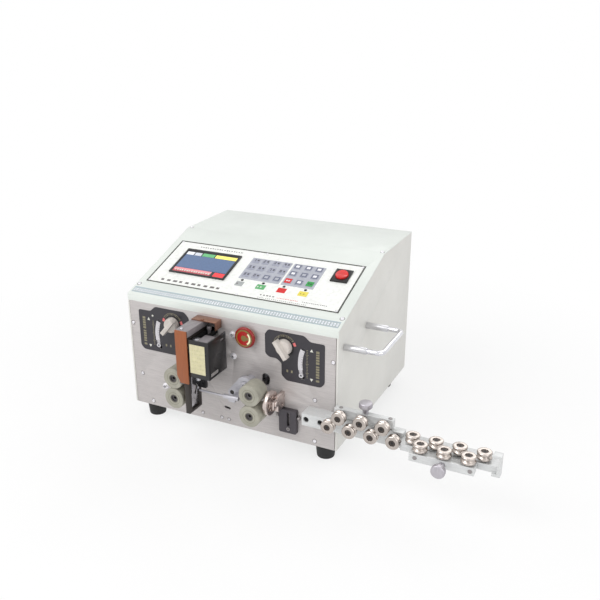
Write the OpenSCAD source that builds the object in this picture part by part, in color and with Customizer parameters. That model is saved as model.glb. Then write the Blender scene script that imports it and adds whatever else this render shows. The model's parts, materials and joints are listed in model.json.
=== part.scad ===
// Bench wire cutting machine: feed rollers, powered cutter head, wire inlet and roller straightener.
// Millimetres, +Z up, +X to the right seen from the front, the front faces -Y.
// The origin lies on the floor under the middle of the case.

/* [Case] */
// Width of the case
case_w = 400; // [396:1:430]
// Depth of the case
case_d = 350; // [330:1:400]
// Height of the case at the back, without its feet
case_h = 280; // [260:1:320]
// Height of the front face, where the sloping panel starts
front_h = 212; // [208:1:230]
// Depth of the flat part of the top
flat_d = 150; // [110:1:190]
// Thickness of the painted sheet
sheet_t = 1.5; // [1:0.1:2]
// Thickness of the steel front plate
plate_t = 3; // [2.5:0.1:4]
// Height of the painted lip over the front plate
lip_h = 12; // [8:0.5:14]
// Width of the folded flanges under the cover
flange_w = 14; // [12:1:20]
// Width of the painted edge beside the front plate
edge_w = 4; // [3:0.5:5]
// Width of the seam between the front plate and the painted edge
edge_seam = 1; // [0.4:0.1:1.2]

/* [Feet] */
// Height of a foot
foot_h = 28; // [18:1:34]
// Radius of a foot where it meets the case
foot_r = 17.5; // [14:0.5:19]
// Radius of a foot at the floor
foot_tip_r = 15; // [11:0.5:17]
// Distance of a foot's centre from the side
foot_in_x = 29; // [22:1:45]
// Distance of a front foot's centre from the front
foot_in_y = 24; // [20:1:40]
// Distance of a rear foot's centre from the back
foot_in_rear = 42; // [20:1:60]

/* [Handles] */
// Radius of the handle rod
rod_r = 4; // [3:0.25:5]
// Radius of the sleeves at the handle's roots
sleeve_r = 5.5; // [5.4:0.1:7]
// Length of the sleeves
sleeve_len = 38; // [20:1:44]
// Reach of the handle from the side panel to the middle of its grip
handle_reach = 62; // [50:1:75]
// Distance between the handle's legs
handle_span = 98; // [80:1:120]
// Height of the handle above the case bottom
handle_z = 176; // [150:1:190]
// Distance of the right handle's front leg from the front of the case
handle_in = 25; // [20:1:45]
// The same for the left handle, which the photograph hides behind the case
handle_in_left = 130; // [100:1:180]

/* [Panel] */
// Width of the printed panel sheet
panel_w = 369; // [360:1:372]
// Length of the printed panel sheet along the slope
panel_l = 128; // [124:1:134]
// Distance of the sheet's lower edge from the fold, along the slope
panel_v = 40; // [36:1:44]
// Width of the display's frame
display_w = 113.5; // [105:0.5:118]
// Height of the display's frame
display_l = 72; // [66:0.5:76]
// Width of one key
key_w = 13; // [10:0.5:15]
// Radius of the round rocker
rocker_r = 11.2; // [10:0.1:12]

/* [Wire line] */
// Distance of the wire from the front plate
wire_d = 44.5; // [44:0.1:47]
// Height of the wire above the case bottom
wire_z = 81; // [80:0.5:84]

/* [Feed rollers] */
// Distance of the feed rollers from the middle of the case
feed_x = 72; // [71:0.5:73]
// Radius of a feed roller
feed_r = 18.4; // [17:0.1:18.6]
// Length of a feed roller
feed_len = 31; // [24:0.5:32]
// Radius of a feed roller's shaft
feed_shaft_r = 4; // [3:0.1:4.4]
// Radius of a feed roller's hub
hub_r = 6.8; // [6.4:0.1:9]
// Gap between the two rollers of a pair
nip_gap = 0.3; // [0.2:0.05:0.6]
// Throw of the pressure knob's crank
crank_throw = 6; // [4:0.25:6.5]
// Distance of the pressure knobs from the middle of the case
knob_x = 107.5; // [106:0.5:109]
// Height of the pressure knobs above the case bottom
knob_z = 169; // [168:0.5:171]

/* [Cutter] */
// Left face of the cutter column
column_x = -56; // [-57:0.25:-55.5]
// Width of the cutter column
column_w = 23; // [22.5:0.25:23.5]
// Thickness of a blade
blade_t = 2.9; // [2.4:0.1:2.95]
// Radius of the lead screw
screw_r = 4; // [3:0.1:4.5]
// Wall of the safety cover
cover_t = 2; // [1.5:0.1:2.5]

/* [Straightener] */
// Radius of a straightener roller
groove_roller_r = 11; // [9:0.1:11.4]
// Thickness of a straightener roller
groove_roller_t = 12; // [9:0.5:12.5]
// Radius of a straightener roller at the bottom of its groove
groove_r = 7.6; // [6.5:0.1:8.5]
// Distance between the rollers of one row
roller_pitch = 35; // [34:0.5:38]
// Radius of a straightener roller's axle
axle_r = 3; // [2:0.1:3.4]
// Radius of the pressure screws' heads
head_r = 10.2; // [9:0.5:13]

/* [Hidden] */
$fn = 48;

// Clearances: turning fits, sliding fits, free gaps, seated faces, the round ends of slots over
// their sides, and cuts that run past a face
run_gap = 0.05;
slide_gap = 0.3;
free_gap = 0.3;
seat_gap = 0.05;
end_bulge = 0.03;
over = 1;

// Case outline
case_y0 = -case_d / 2;
case_y1 = case_d / 2;
foot_y = [case_y0 + foot_in_y, case_y1 - foot_in_rear];
inner_x = case_w / 2 - sheet_t;
plate_x = case_w / 2 - edge_w;
slope_a = atan2(case_h - front_h, case_d - flat_d);
plate_h = front_h - lip_h;

// Panel places along the slope: u across, v up from the fold
display_u = -101.25;
display_v = 109;
display_depth = 12;
key_cols = [-13, 6, 26.5, 46.5, 68, 88.5, 108.5];
key_rows = [140, 120, 99];
switch_u = 152.5;
switch_v = 132;
switch_w = 30;
switch_l = 34;
switch_h = 2.2;
rocker_pin_r = 0.8;
rocker_pin_l = 2;
sheet_d = 0.5;
rocker_h = sheet_d + switch_h - 1.2;

// Screws: front plate [x, z] with the head's radius, sheet and cover [u, v]
screw_in = [8.1, 19.6, 39];
plate_screws = [[screw_in[0] - case_w / 2, 158, 3.2], [screw_in[1] - case_w / 2, 60.7, 3.2],
    [screw_in[2] - case_w / 2, 8.6, 3.2], [case_w / 2 - screw_in[0], 158, 3.2],
    [case_w / 2 - screw_in[2], wire_z + 3.4, 3.2], [case_w / 2 - screw_in[2], 8.6, 3.2],
    [-55, 10, 2.6], [-16, 10, 2.6], [-2, 9, 2.6]];
spare_slot = [[-8, 32.2], [0, 31.1]];
cap_screws = [[12, 172.9], [12, 133.5], [-131, 46]];
sheet_screws = [for (u = [-panel_w / 2 + 4, -3, panel_w / 2 - 6], v = [4, panel_l - 5]) [u, panel_v + v]];
screw_shank_r = 1.5;
mount_screw_r = 2.5;
mount_screw_x = [7.5, 32];
mount_screw_z = wire_z - 19;
cap_r = 3.6;

// Feed units
feed_z = feed_r + nip_gap / 2;
feed_d = wire_d - feed_len / 2;
lift = 2 * crank_throw * sin(35);
guide_w = 26;
carriage_d = 7.5;
carriage_t = 8;
motor_w = 56;
motor_l = 76;
motor_d = 50;
arc_r = 70;
arc_z = 144;
arc_w = 8.6;
arc_x = [-71.5, 204.8];
arc_half = 19;
pin_z = 124;
pin_r = 1.8;
pin_x = [for (x = arc_x) x - sqrt(pow(arc_r, 2) - pow(arc_z - pin_z - lift / 2, 2))];
decal_t = 0.6;
knob_r = 13.5;
grip = [34.5, 7];

// Emergency stop
stop_x = 38.8;
stop_z = 174.6;
stop_r = 18.3;
stop_stem_r = 6;
stop_neck_r = 8;
stop_travel = 4;
collar_t = 1.5;

// Supply, board and rear fittings inside the case
supply = [110, 130, 42];
supply_at = [55, 10];
board = [180, 130, 1.6];
board_at = [-160, 0];
board_z = 12;
board_in = 6;
fan_w = 80;
fan_at = [-100, 170];
inlet_at = [130, 52];
inlet = [27, 19];

// Cutter: places from the wire, the plate or the column
column_z0 = wire_z + 17.5;
column_top = wire_z + 113.6;
head_d = wire_d + 22.5;
strip_t = 2.5;
frame_x0 = column_x + 12;
frame_x1 = column_x + 20;
screw_x = frame_x1 + 10;
screw_d = wire_d + 7.5;
belt_z = wire_z + 88;
belt_h = 8;
belt_t = 1.4;
pulley_r = 5.5;
bearing_z = wire_z + 82;
motor_y_d = -35;
idler_d = 12;
guard_t = 1.6;
guard_x1 = -9;
guard_d = 20;
guard_screw = [column_x + 20, guard_d - 3];
guard_screw_r = 1.5;
cover_x0 = frame_x1 + 3;
cover_x1 = 5.3;
cover_d0 = 12;
cover_z0 = wire_z + 34;
cover_z1 = wire_z + 100.5;
channel = [wire_d + 5, wire_d + 14];
upper_x = frame_x1 + 0.3;
window = [wire_d - 8.2, wire_d + 15.5];
window_top = bearing_z;

// Guide arm, turret and slotted block
arm_pivot = [45.5, wire_z + 16.5];
arm_tip = [21, wire_z - 2];
arm_r = [14.5, 7.5];
arm_d = 18.3;
arm_t = 6.7;
tube_r = 1.8;
tube_bore_r = 1.2;
tube_seat_r = 3.8;
turret_x = 93.5;
turret_t = 6.5;
turret_r = 20.5;
turret_ring = 11.5;
turret_d = wire_d - turret_ring;
block_x = [99.5, 131];
block_mid = 116.3;
block_corner = 2.5;
block_z = [16.5, 59.6];
block_slot = [30, 54.5];
block_pin_z = 46;
block_pin_r = [3.8, 3];
block_screw_z = 24;
block_d = 8;

// Straightener: the first unit stands, the second lies
mount_x = 150;
rail_x1 = 190;
rail_x2 = 318;
rail_end = 462;
rail_d = 12;
rail_t = 15;
rail_z0 = wire_z - 29;
rail_z1 = wire_z - 3;
bottom_x = 203.5;
bottom_z = wire_z - 10;
top_x = bottom_x + roller_pitch / 2;
top_z = wire_z + 8.8;
upper_block_z = [wire_z + 1, wire_z + 15];
upper_block_d = [18, 28];
flat_z = [wire_z - 20, wire_z - 9];
flat_d0 = 13;
flat_d1 = wire_d + 1.5;
rear_x = 336;
rear_d = wire_d - 7.5;
front_x = rear_x + roller_pitch / 2;
front_roller_d = wire_d + 13;
front_block_d = [wire_d + 5.5, wire_d + 21.5];
flat_roller_z = wire_z + 0.5;
front_block_z = [wire_z - 21, wire_z - 8];
guide_rod_r = 3;
rod_l = 8;
rod_end = 0.8;
axle_l = 6;
short_axle_l = 1.4;
press_r = 3;
head_t = 9;
rods_1 = [bottom_x + 12.5, bottom_x + 92.5];
rods_2 = [rear_x + 12.5, rear_x + 92.5];
press_x1 = (rods_1[0] + rods_1[1]) / 2;
press_x2 = (rods_2[0] + rods_2[1]) / 2;
press_d1 = 23;
press_z2 = wire_z - 14.5;

// Frames: front() counts d forwards from the front plate and z up from the case bottom
module front(x, d, z) translate([x, case_y0 - d, foot_h + z]) children();

module slab(x, d, z) front(x[0], d[1], z[0]) cube([x[1] - x[0], d[1] - d[0], z[1] - z[0]]);

// A round bar along Y from d0 to d1, along X from x0 to x1, or upright
module bar_y(x, z, d, r) front(x, d[0], z) rotate([90, 0, 0]) cylinder(r = r, h = d[1] - d[0]);

module bar_x(x, d, z, r) front(x[0], d, z) rotate([0, 90, 0]) cylinder(r = r, h = x[1] - x[0]);

module bar_z(x, d, z, r) front(x, d, z[0]) cylinder(r = r, h = z[1] - z[0]);

// An outline in the x-z plane, as thick as the span d
module plate_shape(d) front(0, d[0], 0) rotate([90, 0, 0]) linear_extrude(d[1] - d[0]) children();

module slope(u, v, h = 0)
    translate([u, case_y0 + v * cos(slope_a), foot_h + front_h + v * sin(slope_a)])
        rotate([slope_a, 0, 0]) translate([0, 0, h]) children();

module slope_box(u, v, w, l, h0, h1) slope(u - w / 2, v - l / 2, h0) cube([w, l, h1 - h0]);

// Outline of the case from the side, k inside the outer skin
function slope_z(y, k) = front_h + (y - case_y0) * tan(slope_a) - k / cos(slope_a);

function fold_y(k) = case_y0 + (case_h - k - front_h + k / cos(slope_a)) / tan(slope_a);

function skin(k, y_end) = [[case_y0 + k, plate_h], [case_y0 + k, slope_z(case_y0 + k, k)],
    [fold_y(k), case_h - k], [y_end, case_h - k]];

function reversed(list) = [for (i = [len(list) - 1 : -1 : 0]) list[i]];

module side_extrude(x0, x1) translate([x0, 0, foot_h]) rotate([90, 0, 90])
    linear_extrude(x1 - x0) children();

// A slot outline from p to q
module long_hole(p, q, r) {
    translate(p) circle(r + end_bulge);
    translate(q) circle(r + end_bulge);
    translate(p) rotate(atan2(q[1] - p[1], q[0] - p[0])) translate([0, -r]) square([norm(q - p), 2 * r]);
}

module base_tray() color([0.85, 0.86, 0.83]) difference() {
    union() {
        translate([-inner_x, case_y0 + plate_t, foot_h])
            cube([2 * inner_x, case_d - plate_t - sheet_t, sheet_t]);
        for (s = [-1, 1])
            translate([s > 0 ? inner_x - sheet_t : -inner_x, case_y0 + plate_t, foot_h])
                cube([sheet_t, case_d - plate_t - sheet_t, 20]);
    }
    for (x = [-1, 1], y = foot_y)
        translate([x * (case_w / 2 - foot_in_x), y, foot_h - over])
            cylinder(r = 3, h = sheet_t + 2 * over);
}

// Slot along an arc that bulges to the left, with round ends
module arc_slot(i, w, half) translate([arc_x[i], arc_z]) rotate(180) {
    intersection() {
        difference() {
            circle(arc_r + w / 2);
            circle(arc_r - w / 2);
        }
        polygon([[0, 0], 2 * arc_r * [1, -tan(half)], 2 * arc_r * [1, tan(half)]]);
    }
    for (a = [-1, 1]) rotate(a * half) translate([arc_r, 0]) circle(w / 2 + end_bulge);
}

module front_plate() color([0.70, 0.68, 0.67]) {
    plate_shape([-plate_t, 0]) difference() {
        translate([-plate_x, 0]) square([2 * plate_x, plate_h]);
        for (s = [-1, 1]) {
            translate([s * feed_x, wire_z - feed_z]) circle(feed_shaft_r + 1);
            long_hole([s * feed_x, wire_z + feed_z], [s * feed_x, wire_z + feed_z + lift],
                feed_shaft_r + 3.2);
            translate([s * knob_x, knob_z]) circle(feed_shaft_r + run_gap);
        }
        for (i = [0, 1]) arc_slot(i, arc_w, arc_half);
        for (p = plate_screws) translate([p[0], p[1]]) circle(screw_shank_r + run_gap);
        for (p = cap_screws) translate(p) circle(2 + run_gap);
        long_hole(spare_slot[0], spare_slot[1], 2.2);
        translate([stop_x, stop_z]) circle(stop_neck_r + run_gap);
        for (x = mount_screw_x) translate([mount_x + x, mount_screw_z]) circle(mount_screw_r + run_gap);
        translate([screw_x - pulley_r - 3, belt_z - 2]) square([2 * pulley_r + 6, belt_h + 4]);
    }
    // Guide bars for the roller carriages, welded on the back
    for (s = [-1, 1], e = [-1, 1])
        slab([s * feed_x + e * (guide_w / 2 + slide_gap) + (e > 0 ? 0 : -4),
            s * feed_x + e * (guide_w / 2 + slide_gap) + (e > 0 ? 4 : 0)],
            [-carriage_d - carriage_t - 2, -plate_t], [wire_z + 12, wire_z + 32]);
}

module side_panels() color([0.92, 0.94, 0.91]) for (s = [-1, 1]) mirror([s > 0 ? 0 : 1, 0, 0]) difference() {
    union() {
        side_extrude(inner_x, inner_x + sheet_t)
            polygon(concat([[case_y0, 0], [case_y0, plate_h]], skin(sheet_t, case_y1 - sheet_t),
                [[case_y1 - sheet_t, 0]]));
        side_extrude(inner_x - flange_w, inner_x)
            polygon(concat(skin(sheet_t, case_y1 - sheet_t), reversed(skin(2 * sheet_t, case_y1 - sheet_t))));
        slab([plate_x + edge_seam, inner_x + over / 2], [-plate_t, 0], [0, plate_h - seat_gap]);
    }
    for (y = [0, handle_span])
        translate([inner_x - over, handle_y(s) + y, foot_h + handle_z]) rotate([0, 90, 0])
            cylinder(r = rod_r + run_gap, h = sheet_t + 2 * over);
    cover_screw_places() translate([0, 0, -10]) cylinder(r = screw_shank_r + run_gap, h = 12);
}

// Four screws hold the cover: two near the front edge of the slope, two behind the upper fold
module cover_screw_places() {
    for (s = [-1, 1]) {
        slope(s * (case_w / 2 - 6), 30) children();
        translate([s * (case_w / 2 - 6), fold_y(0) + 5, foot_h + case_h]) children();
    }
}

module top_cover() color([0.92, 0.94, 0.91]) difference() {
    side_extrude(-case_w / 2, case_w / 2)
        polygon(concat(skin(0, case_y1), reversed(skin(sheet_t, case_y1))));
    slope_box(display_u, display_v, display_w - 8, display_l - 8, -sheet_t - over, over);
    slope_box(switch_u, switch_v, switch_w - 4, switch_l - 4, -sheet_t - over, over);
    cover_screw_places() translate([0, 0, -10]) cylinder(r = screw_shank_r + run_gap, h = 12);
    for (p = sheet_screws) slope(p[0], p[1], -5) cylinder(r = 1 + run_gap, h = 8);
}

module rear_panel() color([0.92, 0.94, 0.91]) difference() {
    translate([-case_w / 2, case_y1 - sheet_t, foot_h]) cube([case_w, sheet_t, case_h - sheet_t]);
    // Fan grille: rings of slots between four spokes
    rear_cut(fan_at) difference() {
        for (k = [1 : 4]) difference() {
            circle(k * fan_w / 10 + 4);
            circle(k * fan_w / 10);
        }
        for (a = [45, 135]) rotate(a) square([fan_w + 10, 5], center = true);
    }
    for (i = [0 : 9]) rear_cut([22.5 + i * 12, 215]) square([5, 50], center = true);
    rear_cut(inlet_at) square([inlet[0] + 1, inlet[1] + 1], center = true);
}

// An outline cut through the rear panel at the place [x, z]
module rear_cut(p) translate([p[0], case_y1 + over, foot_h + p[1]]) rotate([90, 0, 0])
    linear_extrude(sheet_t + 2 * over) children();

// Four tapered feet, each with its screw in a sunk hole
module rubber_feet() color([0.08, 0.08, 0.08]) for (x = [-1, 1], y = foot_y)
    translate([x * (case_w / 2 - foot_in_x), y, 0]) {
        difference() {
            rotate_extrude() polygon([[0, 0], [foot_tip_r - 1, 0], [foot_tip_r, 1], [foot_r, foot_h - 4],
                [foot_r, foot_h], [0, foot_h]]);
            translate([0, 0, -over]) cylinder(r = 6, h = 9);
            cylinder(r = 3, h = foot_h + over);
        }
        translate([0, 0, 4]) cylinder(r = 5.2, h = 4 - seat_gap);
        translate([0, 0, 5]) cylinder(r = 3 - run_gap, h = foot_h + sheet_t - 3);
    }

module pan_screw(r, depth) {
    translate([0, 0, -depth]) cylinder(r = screw_shank_r, h = depth);
    difference() {
        cylinder(r1 = r, r2 = r - 0.8, h = 1.7);
        for (a = [0, 90]) rotate(a) translate([-r * 0.55, -0.4, 0.9]) cube([r * 1.1, 0.8, 2]);
    }
}

module case_screws() color([0.80, 0.80, 0.82]) {
    for (p = plate_screws) front(p[0], 0, p[1]) rotate([90, 0, 0]) pan_screw(p[2], plate_t + 2);
    cover_screw_places() pan_screw(3.4, 6);
    for (p = sheet_screws) slope(p[0], p[1], sheet_d) difference() {
        union() {
            cylinder(r = 2.2, h = 1);
            translate([0, 0, -4]) cylinder(r = 1, h = 4.5);
        }
        translate([-1.5, -0.3, 0.5]) cube([3, 0.6, 1]);
    }
    for (p = cap_screws) front(p[0], 0, p[1]) rotate([90, 0, 0]) difference() {
        union() {
            translate([0, 0, -plate_t - 4]) cylinder(r = 2, h = plate_t + 5);
            cylinder(r = cap_r + 2, h = 1.2);
            translate([0, 0, 1.2]) cylinder(r = cap_r, h = 4);
        }
        translate([0, 0, 3]) cylinder(r = 1.9, h = 4, $fn = 6);
    }
    for (x = mount_screw_x) difference() {
        union() {
            bar_y(mount_x + x, mount_screw_z, [-plate_t - 4, 21], mount_screw_r);
            bar_y(mount_x + x, mount_screw_z, [20 + seat_gap, 25], mount_screw_r + 1.8);
        }
        bar_y(mount_x + x, mount_screw_z, [22.5, 26], 2.2, $fn = 6);
    }
}

// Place of the front leg of the right (1) or left (-1) handle
function handle_y(s) = case_y0 + (s > 0 ? handle_in : handle_in_left);

// Two U-shaped rods with a sleeve and a nut on each leg
module carry_handles() for (s = [-1, 1]) mirror([s > 0 ? 0 : 1, 0, 0]) {
    x0 = case_w / 2;
    x1 = x0 + handle_reach;
    bend = 9;
    translate([0, handle_y(s), foot_h + handle_z]) {
        color([0.85, 0.85, 0.87]) {
            for (y = [0, handle_span]) translate([x0 - 9, y, 0]) rotate([0, 90, 0])
                cylinder(r = rod_r, h = x1 - bend - x0 + 9);
            translate([x1, bend, 0]) rotate([-90, 0, 0]) cylinder(r = rod_r, h = handle_span - 2 * bend);
            translate([x1 - bend, bend, 0]) rotate([0, 0, -90]) rotate_extrude(angle = 90)
                translate([bend, 0]) circle(rod_r);
            translate([x1 - bend, handle_span - bend, 0]) rotate_extrude(angle = 90)
                translate([bend, 0]) circle(rod_r);
        }
        color([0.93, 0.93, 0.94]) for (y = [0, handle_span])
            translate([x0, y, 0]) rotate([0, 90, 0]) difference() {
                cylinder(r = sleeve_r, h = sleeve_len);
                translate([0, 0, -over]) cylinder(r = rod_r + run_gap, h = sleeve_len + 2 * over);
            }
        color([0.7, 0.7, 0.72]) for (y = [0, handle_span])
            translate([x0 - sheet_t - 5, y, 0]) rotate([0, 90, 0]) difference() {
                cylinder(r = rod_r + 3.5, h = 5, $fn = 6);
                translate([0, 0, -over]) cylinder(r = rod_r + run_gap, h = 5 + 2 * over);
            }
    }
}

module panel_sheet() color([0.82, 0.85, 0.84]) difference() {
    slope_box(-1.5, panel_v + panel_l / 2, panel_w, panel_l, seat_gap, sheet_d);
    slope_box(display_u, display_v, display_w - 6, display_l - 6, -over, over);
    slope_box(switch_u, switch_v, switch_w - 3, switch_l - 3, -over, over);
    for (p = sheet_screws) slope(p[0], p[1], -5) cylinder(r = 1 + run_gap, h = 8);
}

module display_unit() color([0.12, 0.12, 0.14]) {
    difference() {
        slope_box(display_u, display_v, display_w, display_l, sheet_d, sheet_d + 2.5);
        slope_box(display_u, display_v, display_w - 8, display_l - 7, sheet_d + 1.5, sheet_d + 4);
    }
    slope_box(display_u, display_v, display_w - 9, display_l - 9, -display_depth, sheet_d + 1);
}

module panel_keys() color([0.67, 0.68, 0.75]) for (u = key_cols, v = key_rows)
    slope_box(u, v, key_w, key_w, sheet_d, sheet_d + 0.7);

module switch_frame() color([0.06, 0.06, 0.06]) difference() {
    union() {
        slope_box(switch_u, switch_v, switch_w, switch_l, sheet_d, sheet_d + switch_h);
        slope_box(switch_u, switch_v, switch_w - 5, switch_l - 5, -18, sheet_d + 1);
    }
    slope(switch_u, switch_v + 1, -12) cylinder(r = rocker_r + free_gap, h = 20);
    slope(switch_u, switch_v + 1, rocker_h) rotate([0, 90, 0])
        cylinder(r = rocker_pin_r + run_gap, h = 2 * (rocker_r + rocker_pin_l + run_gap), center = true);
}

// A ball-sided rocker on a pivot pin, so that it tilts in its round frame with an even gap
module power_rocker() color([0.85, 0.08, 0.08]) slope(switch_u, switch_v + 1, rocker_h) {
    intersection() {
        sphere(r = rocker_r);
        rotate([0, 90, 0]) rotate([0, 0, 90]) translate([0, 0, -rocker_r]) linear_extrude(2 * rocker_r)
            polygon([[-rocker_r, -5], [rocker_r, -5], [rocker_r, 4.6], [0, 3], [-rocker_r, 4.6]]);
    }
    rotate([0, 90, 0]) cylinder(r = rocker_pin_r, h = 2 * (rocker_r + rocker_pin_l), center = true);
}

// Dark plates with a knob hole and an arc slot, one for each pair of feed rollers
module right_outline() {
    polygon([[72, 151], [72, 185], [78, 194], [141.4, 194], [152.5, 185], [177.6, 185], [177.6, 117],
        [171, 109.5], [110.6, 109.5], [101.5, 117.7], [101.5, 139], [92.5, 145.5], [79, 145.5]]);
}

module left_outline() {
    polygon([[-178, 118], [-178, 186], [-153, 186], [-143, 195.5], [-83, 195.5], [-74, 186],
        [-74, 120], [-83, 111], [-171, 111]]);
}

module control_plates() color([0.2, 0.2, 0.22]) plate_shape([0, decal_t]) {
    for (i = [0, 1]) difference() {
        if (i == 0) left_outline();
        else right_outline();
        translate([(i == 0 ? -1 : 1) * knob_x, knob_z]) circle(feed_shaft_r + 1);
        arc_slot(i, arc_w, arc_half);
    }
}

module stop_collar() color([0.80, 0.68, 0.25]) difference() {
    union() {
        bar_y(stop_x, stop_z, [0, collar_t], stop_r - 5);
        bar_y(stop_x, stop_z, [-30, -plate_t], 14);
        bar_y(stop_x, stop_z, [-plate_t - over, over], stop_neck_r);
    }
    bar_y(stop_x, stop_z, [-26, collar_t + over], stop_stem_r + free_gap);
}

module stop_button() color([0.85, 0.08, 0.08]) front(stop_x, 0, stop_z) rotate([90, 0, 0]) {
    z = collar_t + stop_travel + free_gap;
    rotate_extrude() polygon([[0, -20], [stop_stem_r, -20], [stop_stem_r, z],
        [stop_r, z], [stop_r, z + 2.6], [stop_r - 1.2, z + 4], [stop_r * 0.6, z + 5.2], [0, z + 5.6]]);
}

// Feed motors on spacer posts, and the cutter motor under its shelf
module drive_motors() color([0.16, 0.16, 0.17]) {
    for (s = [-1, 1]) {
        difference() {
            slab([s * feed_x - motor_w / 2, s * feed_x + motor_w / 2], [-motor_d - motor_l, -motor_d],
                [wire_z - feed_z - motor_w / 2, wire_z - feed_z + motor_w / 2]);
            bar_y(s * feed_x, wire_z - feed_z, [-motor_d - 20, -motor_d + over], feed_shaft_r + run_gap);
        }
        for (x = [-1, 1], z = [-1, 1])
            bar_y(s * feed_x + x * (motor_w / 2 - 4.5), wire_z - feed_z + z * (motor_w / 2 - 4.5),
                [-motor_d + run_gap, -plate_t], 3.5);
    }
    difference() {
        slab([screw_x - motor_w / 2, screw_x + motor_w / 2],
            [motor_y_d - motor_w / 2, motor_y_d + motor_w / 2], [belt_z - 70, belt_z - 5]);
        bar_z(screw_x, motor_y_d, [belt_z - 25, belt_z], 3 + run_gap);
    }
    // Shelf, bolted to the back of the front plate
    difference() {
        slab([screw_x - motor_w / 2, screw_x + motor_w / 2], [motor_y_d - motor_w / 2, -plate_t],
            [belt_z - 5 + run_gap, belt_z - 2.5]);
        bar_z(screw_x, motor_y_d, [belt_z - 25, belt_z], 6);
    }
    bar_z(screw_x, motor_y_d, [belt_z - 24, belt_z + belt_h + 1], 3);
    difference() {
        bar_z(screw_x, motor_y_d, [belt_z, belt_z + belt_h], pulley_r);
        bar_z(screw_x, motor_y_d, [belt_z - over, belt_z + belt_h + over], 3 + run_gap);
    }
}

module power_supply() color([0.72, 0.73, 0.74])
    translate([supply_at[0], supply_at[1], foot_h + sheet_t]) difference() {
        cube(supply);
        for (i = [1 : 8]) translate([i * supply[0] / 9, -over, supply[2] / 4])
            cube([5, 2 + over, supply[2] / 2]);
    }

module control_board() {
    pitch = board[0] / 4.7;
    color([0.1, 0.4, 0.2]) translate([board_at[0], board_at[1], foot_h + board_z]) difference() {
        cube(board);
        board_corners() translate([0, 0, -over]) cylinder(r = 1.6 + run_gap, h = board[2] + 2 * over);
    }
    color([0.8, 0.8, 0.8]) translate([board_at[0], board_at[1], foot_h + sheet_t]) board_corners() {
        cylinder(r = 3, h = board_z - sheet_t - run_gap);
        cylinder(r = 1.6, h = board_z + 3 - sheet_t);
    }
    parts_z = foot_h + board_z + board[2] + run_gap;
    translate([board_at[0] + pitch / 2, board_at[1], parts_z]) for (i = [0 : 3]) {
        color([0.1, 0.1, 0.1]) translate([i * pitch, board[1] * 0.23, 0]) cube([22, 40, 18]);
        color([0.75, 0.75, 0.77]) translate([11 + i * pitch, board[1] * 0.73, 0]) cylinder(r = 9, h = 28);
    }
}

module board_corners() for (x = [board_in, board[0] - board_in], y = [board_in, board[1] - board_in])
    translate([x, y, 0]) children();

// Cooling fan and mains inlet, both on the rear panel
module rear_fittings() color([0.07, 0.07, 0.07]) {
    fan_bore = fan_w / 2 - 3;
    translate([fan_at[0], case_y1 - sheet_t, foot_h + fan_at[1]]) rotate([90, 0, 0]) {
        difference() {
            linear_extrude(25) square(fan_w, center = true);
            translate([0, 0, -over]) cylinder(r = fan_bore, h = 25 + 2 * over);
        }
        cylinder(r = 14, h = 22);
        translate([0, 0, 20]) for (a = [0, 90]) rotate(a) translate([-fan_bore - over, -2, 0])
            cube([2 * (fan_bore + over), 4, 3]);
        for (a = [0 : 6]) rotate(a * 360 / 7) translate([13, -1, 4]) rotate([40, 0, 0])
            cube([fan_bore - 17, 2, 14]);
    }
    translate([inlet_at[0], case_y1, foot_h + inlet_at[1]]) rotate([90, 0, 0]) difference() {
        union() {
            translate([0, 0, -3]) linear_extrude(3) square([inlet[0] + 13, inlet[1] + 9], center = true);
            linear_extrude(20) square(inlet, center = true);
        }
        translate([0, 0, -4]) linear_extrude(18) square([inlet[0] - 4, inlet[1] - 4], center = true);
    }
    for (x = [-4, 0, 4]) translate([inlet_at[0] + x, case_y1 - 14, foot_h + inlet_at[1] + (x == 0 ? 3 : -2)])
        rotate([-90, 0, 0]) cylinder(r = 1.1, h = 12);
}

// Column, cap, bearing block, guide rod and the boss at the back of the cutter head
module cutter_column() color([0.45, 0.45, 0.46]) {
    difference() {
        union() {
            slab([column_x, frame_x0 - seat_gap], [0, head_d], [column_z0, column_top]);
            slab([column_x, column_x + column_w], [0, head_d], [column_top - 10.6, column_top]);
        }
        slab([column_x + 5, frame_x0 + over], channel, [column_z0 - over, column_top - 12]);
        // Room for the left upper feed roller, also when it is lifted
        slab([column_x - over, feed_r - feed_x + 2 * free_gap], [feed_d - 2, head_d + over],
            [column_z0 - over, wire_z + feed_z + feed_r + lift + 1]);
        bar_z(column_x + 9, head_d - 5, [column_top - 6, column_top + over], screw_shank_r + 1);
        bar_z(guard_screw[0], guard_screw[1], [column_top - 6, column_top + over],
            guard_screw_r + run_gap);
    }
    difference() {
        union() {
            slab([frame_x1, 0.5], [idler_d - 6, head_d - cover_t], [bearing_z, bearing_z + 4.5]);
            slab([screw_x + 7.5, 0.5], [wire_d - 8.5, head_d - cover_t], [bearing_z, bearing_z + 17]);
        }
        bar_z(screw_x, screw_d, [bearing_z - over, bearing_z + 6], screw_r + run_gap);
        bar_z(screw_x - 1, 22, [bearing_z - over, bearing_z + 6], 3 + run_gap);
    }
    bar_z(screw_x - 1, 22, [wire_z + 8, bearing_z + 4.5], 3);
    // Idler bolt between the strands of the belt
    bar_z(screw_x, idler_d, [bearing_z + 4, belt_z + belt_h + 3], 3);
    bar_z(screw_x, idler_d, [belt_z + belt_h + 2, belt_z + belt_h + 8], 4.2);
    difference() {
        bar_z(column_x + 9, head_d - 5, [column_top - 5, column_top + 2.5], screw_shank_r + 0.9);
        bar_z(column_x + 9, head_d - 5, [column_top + 1, column_top + 3], 1.1, $fn = 6);
    }
}

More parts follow.
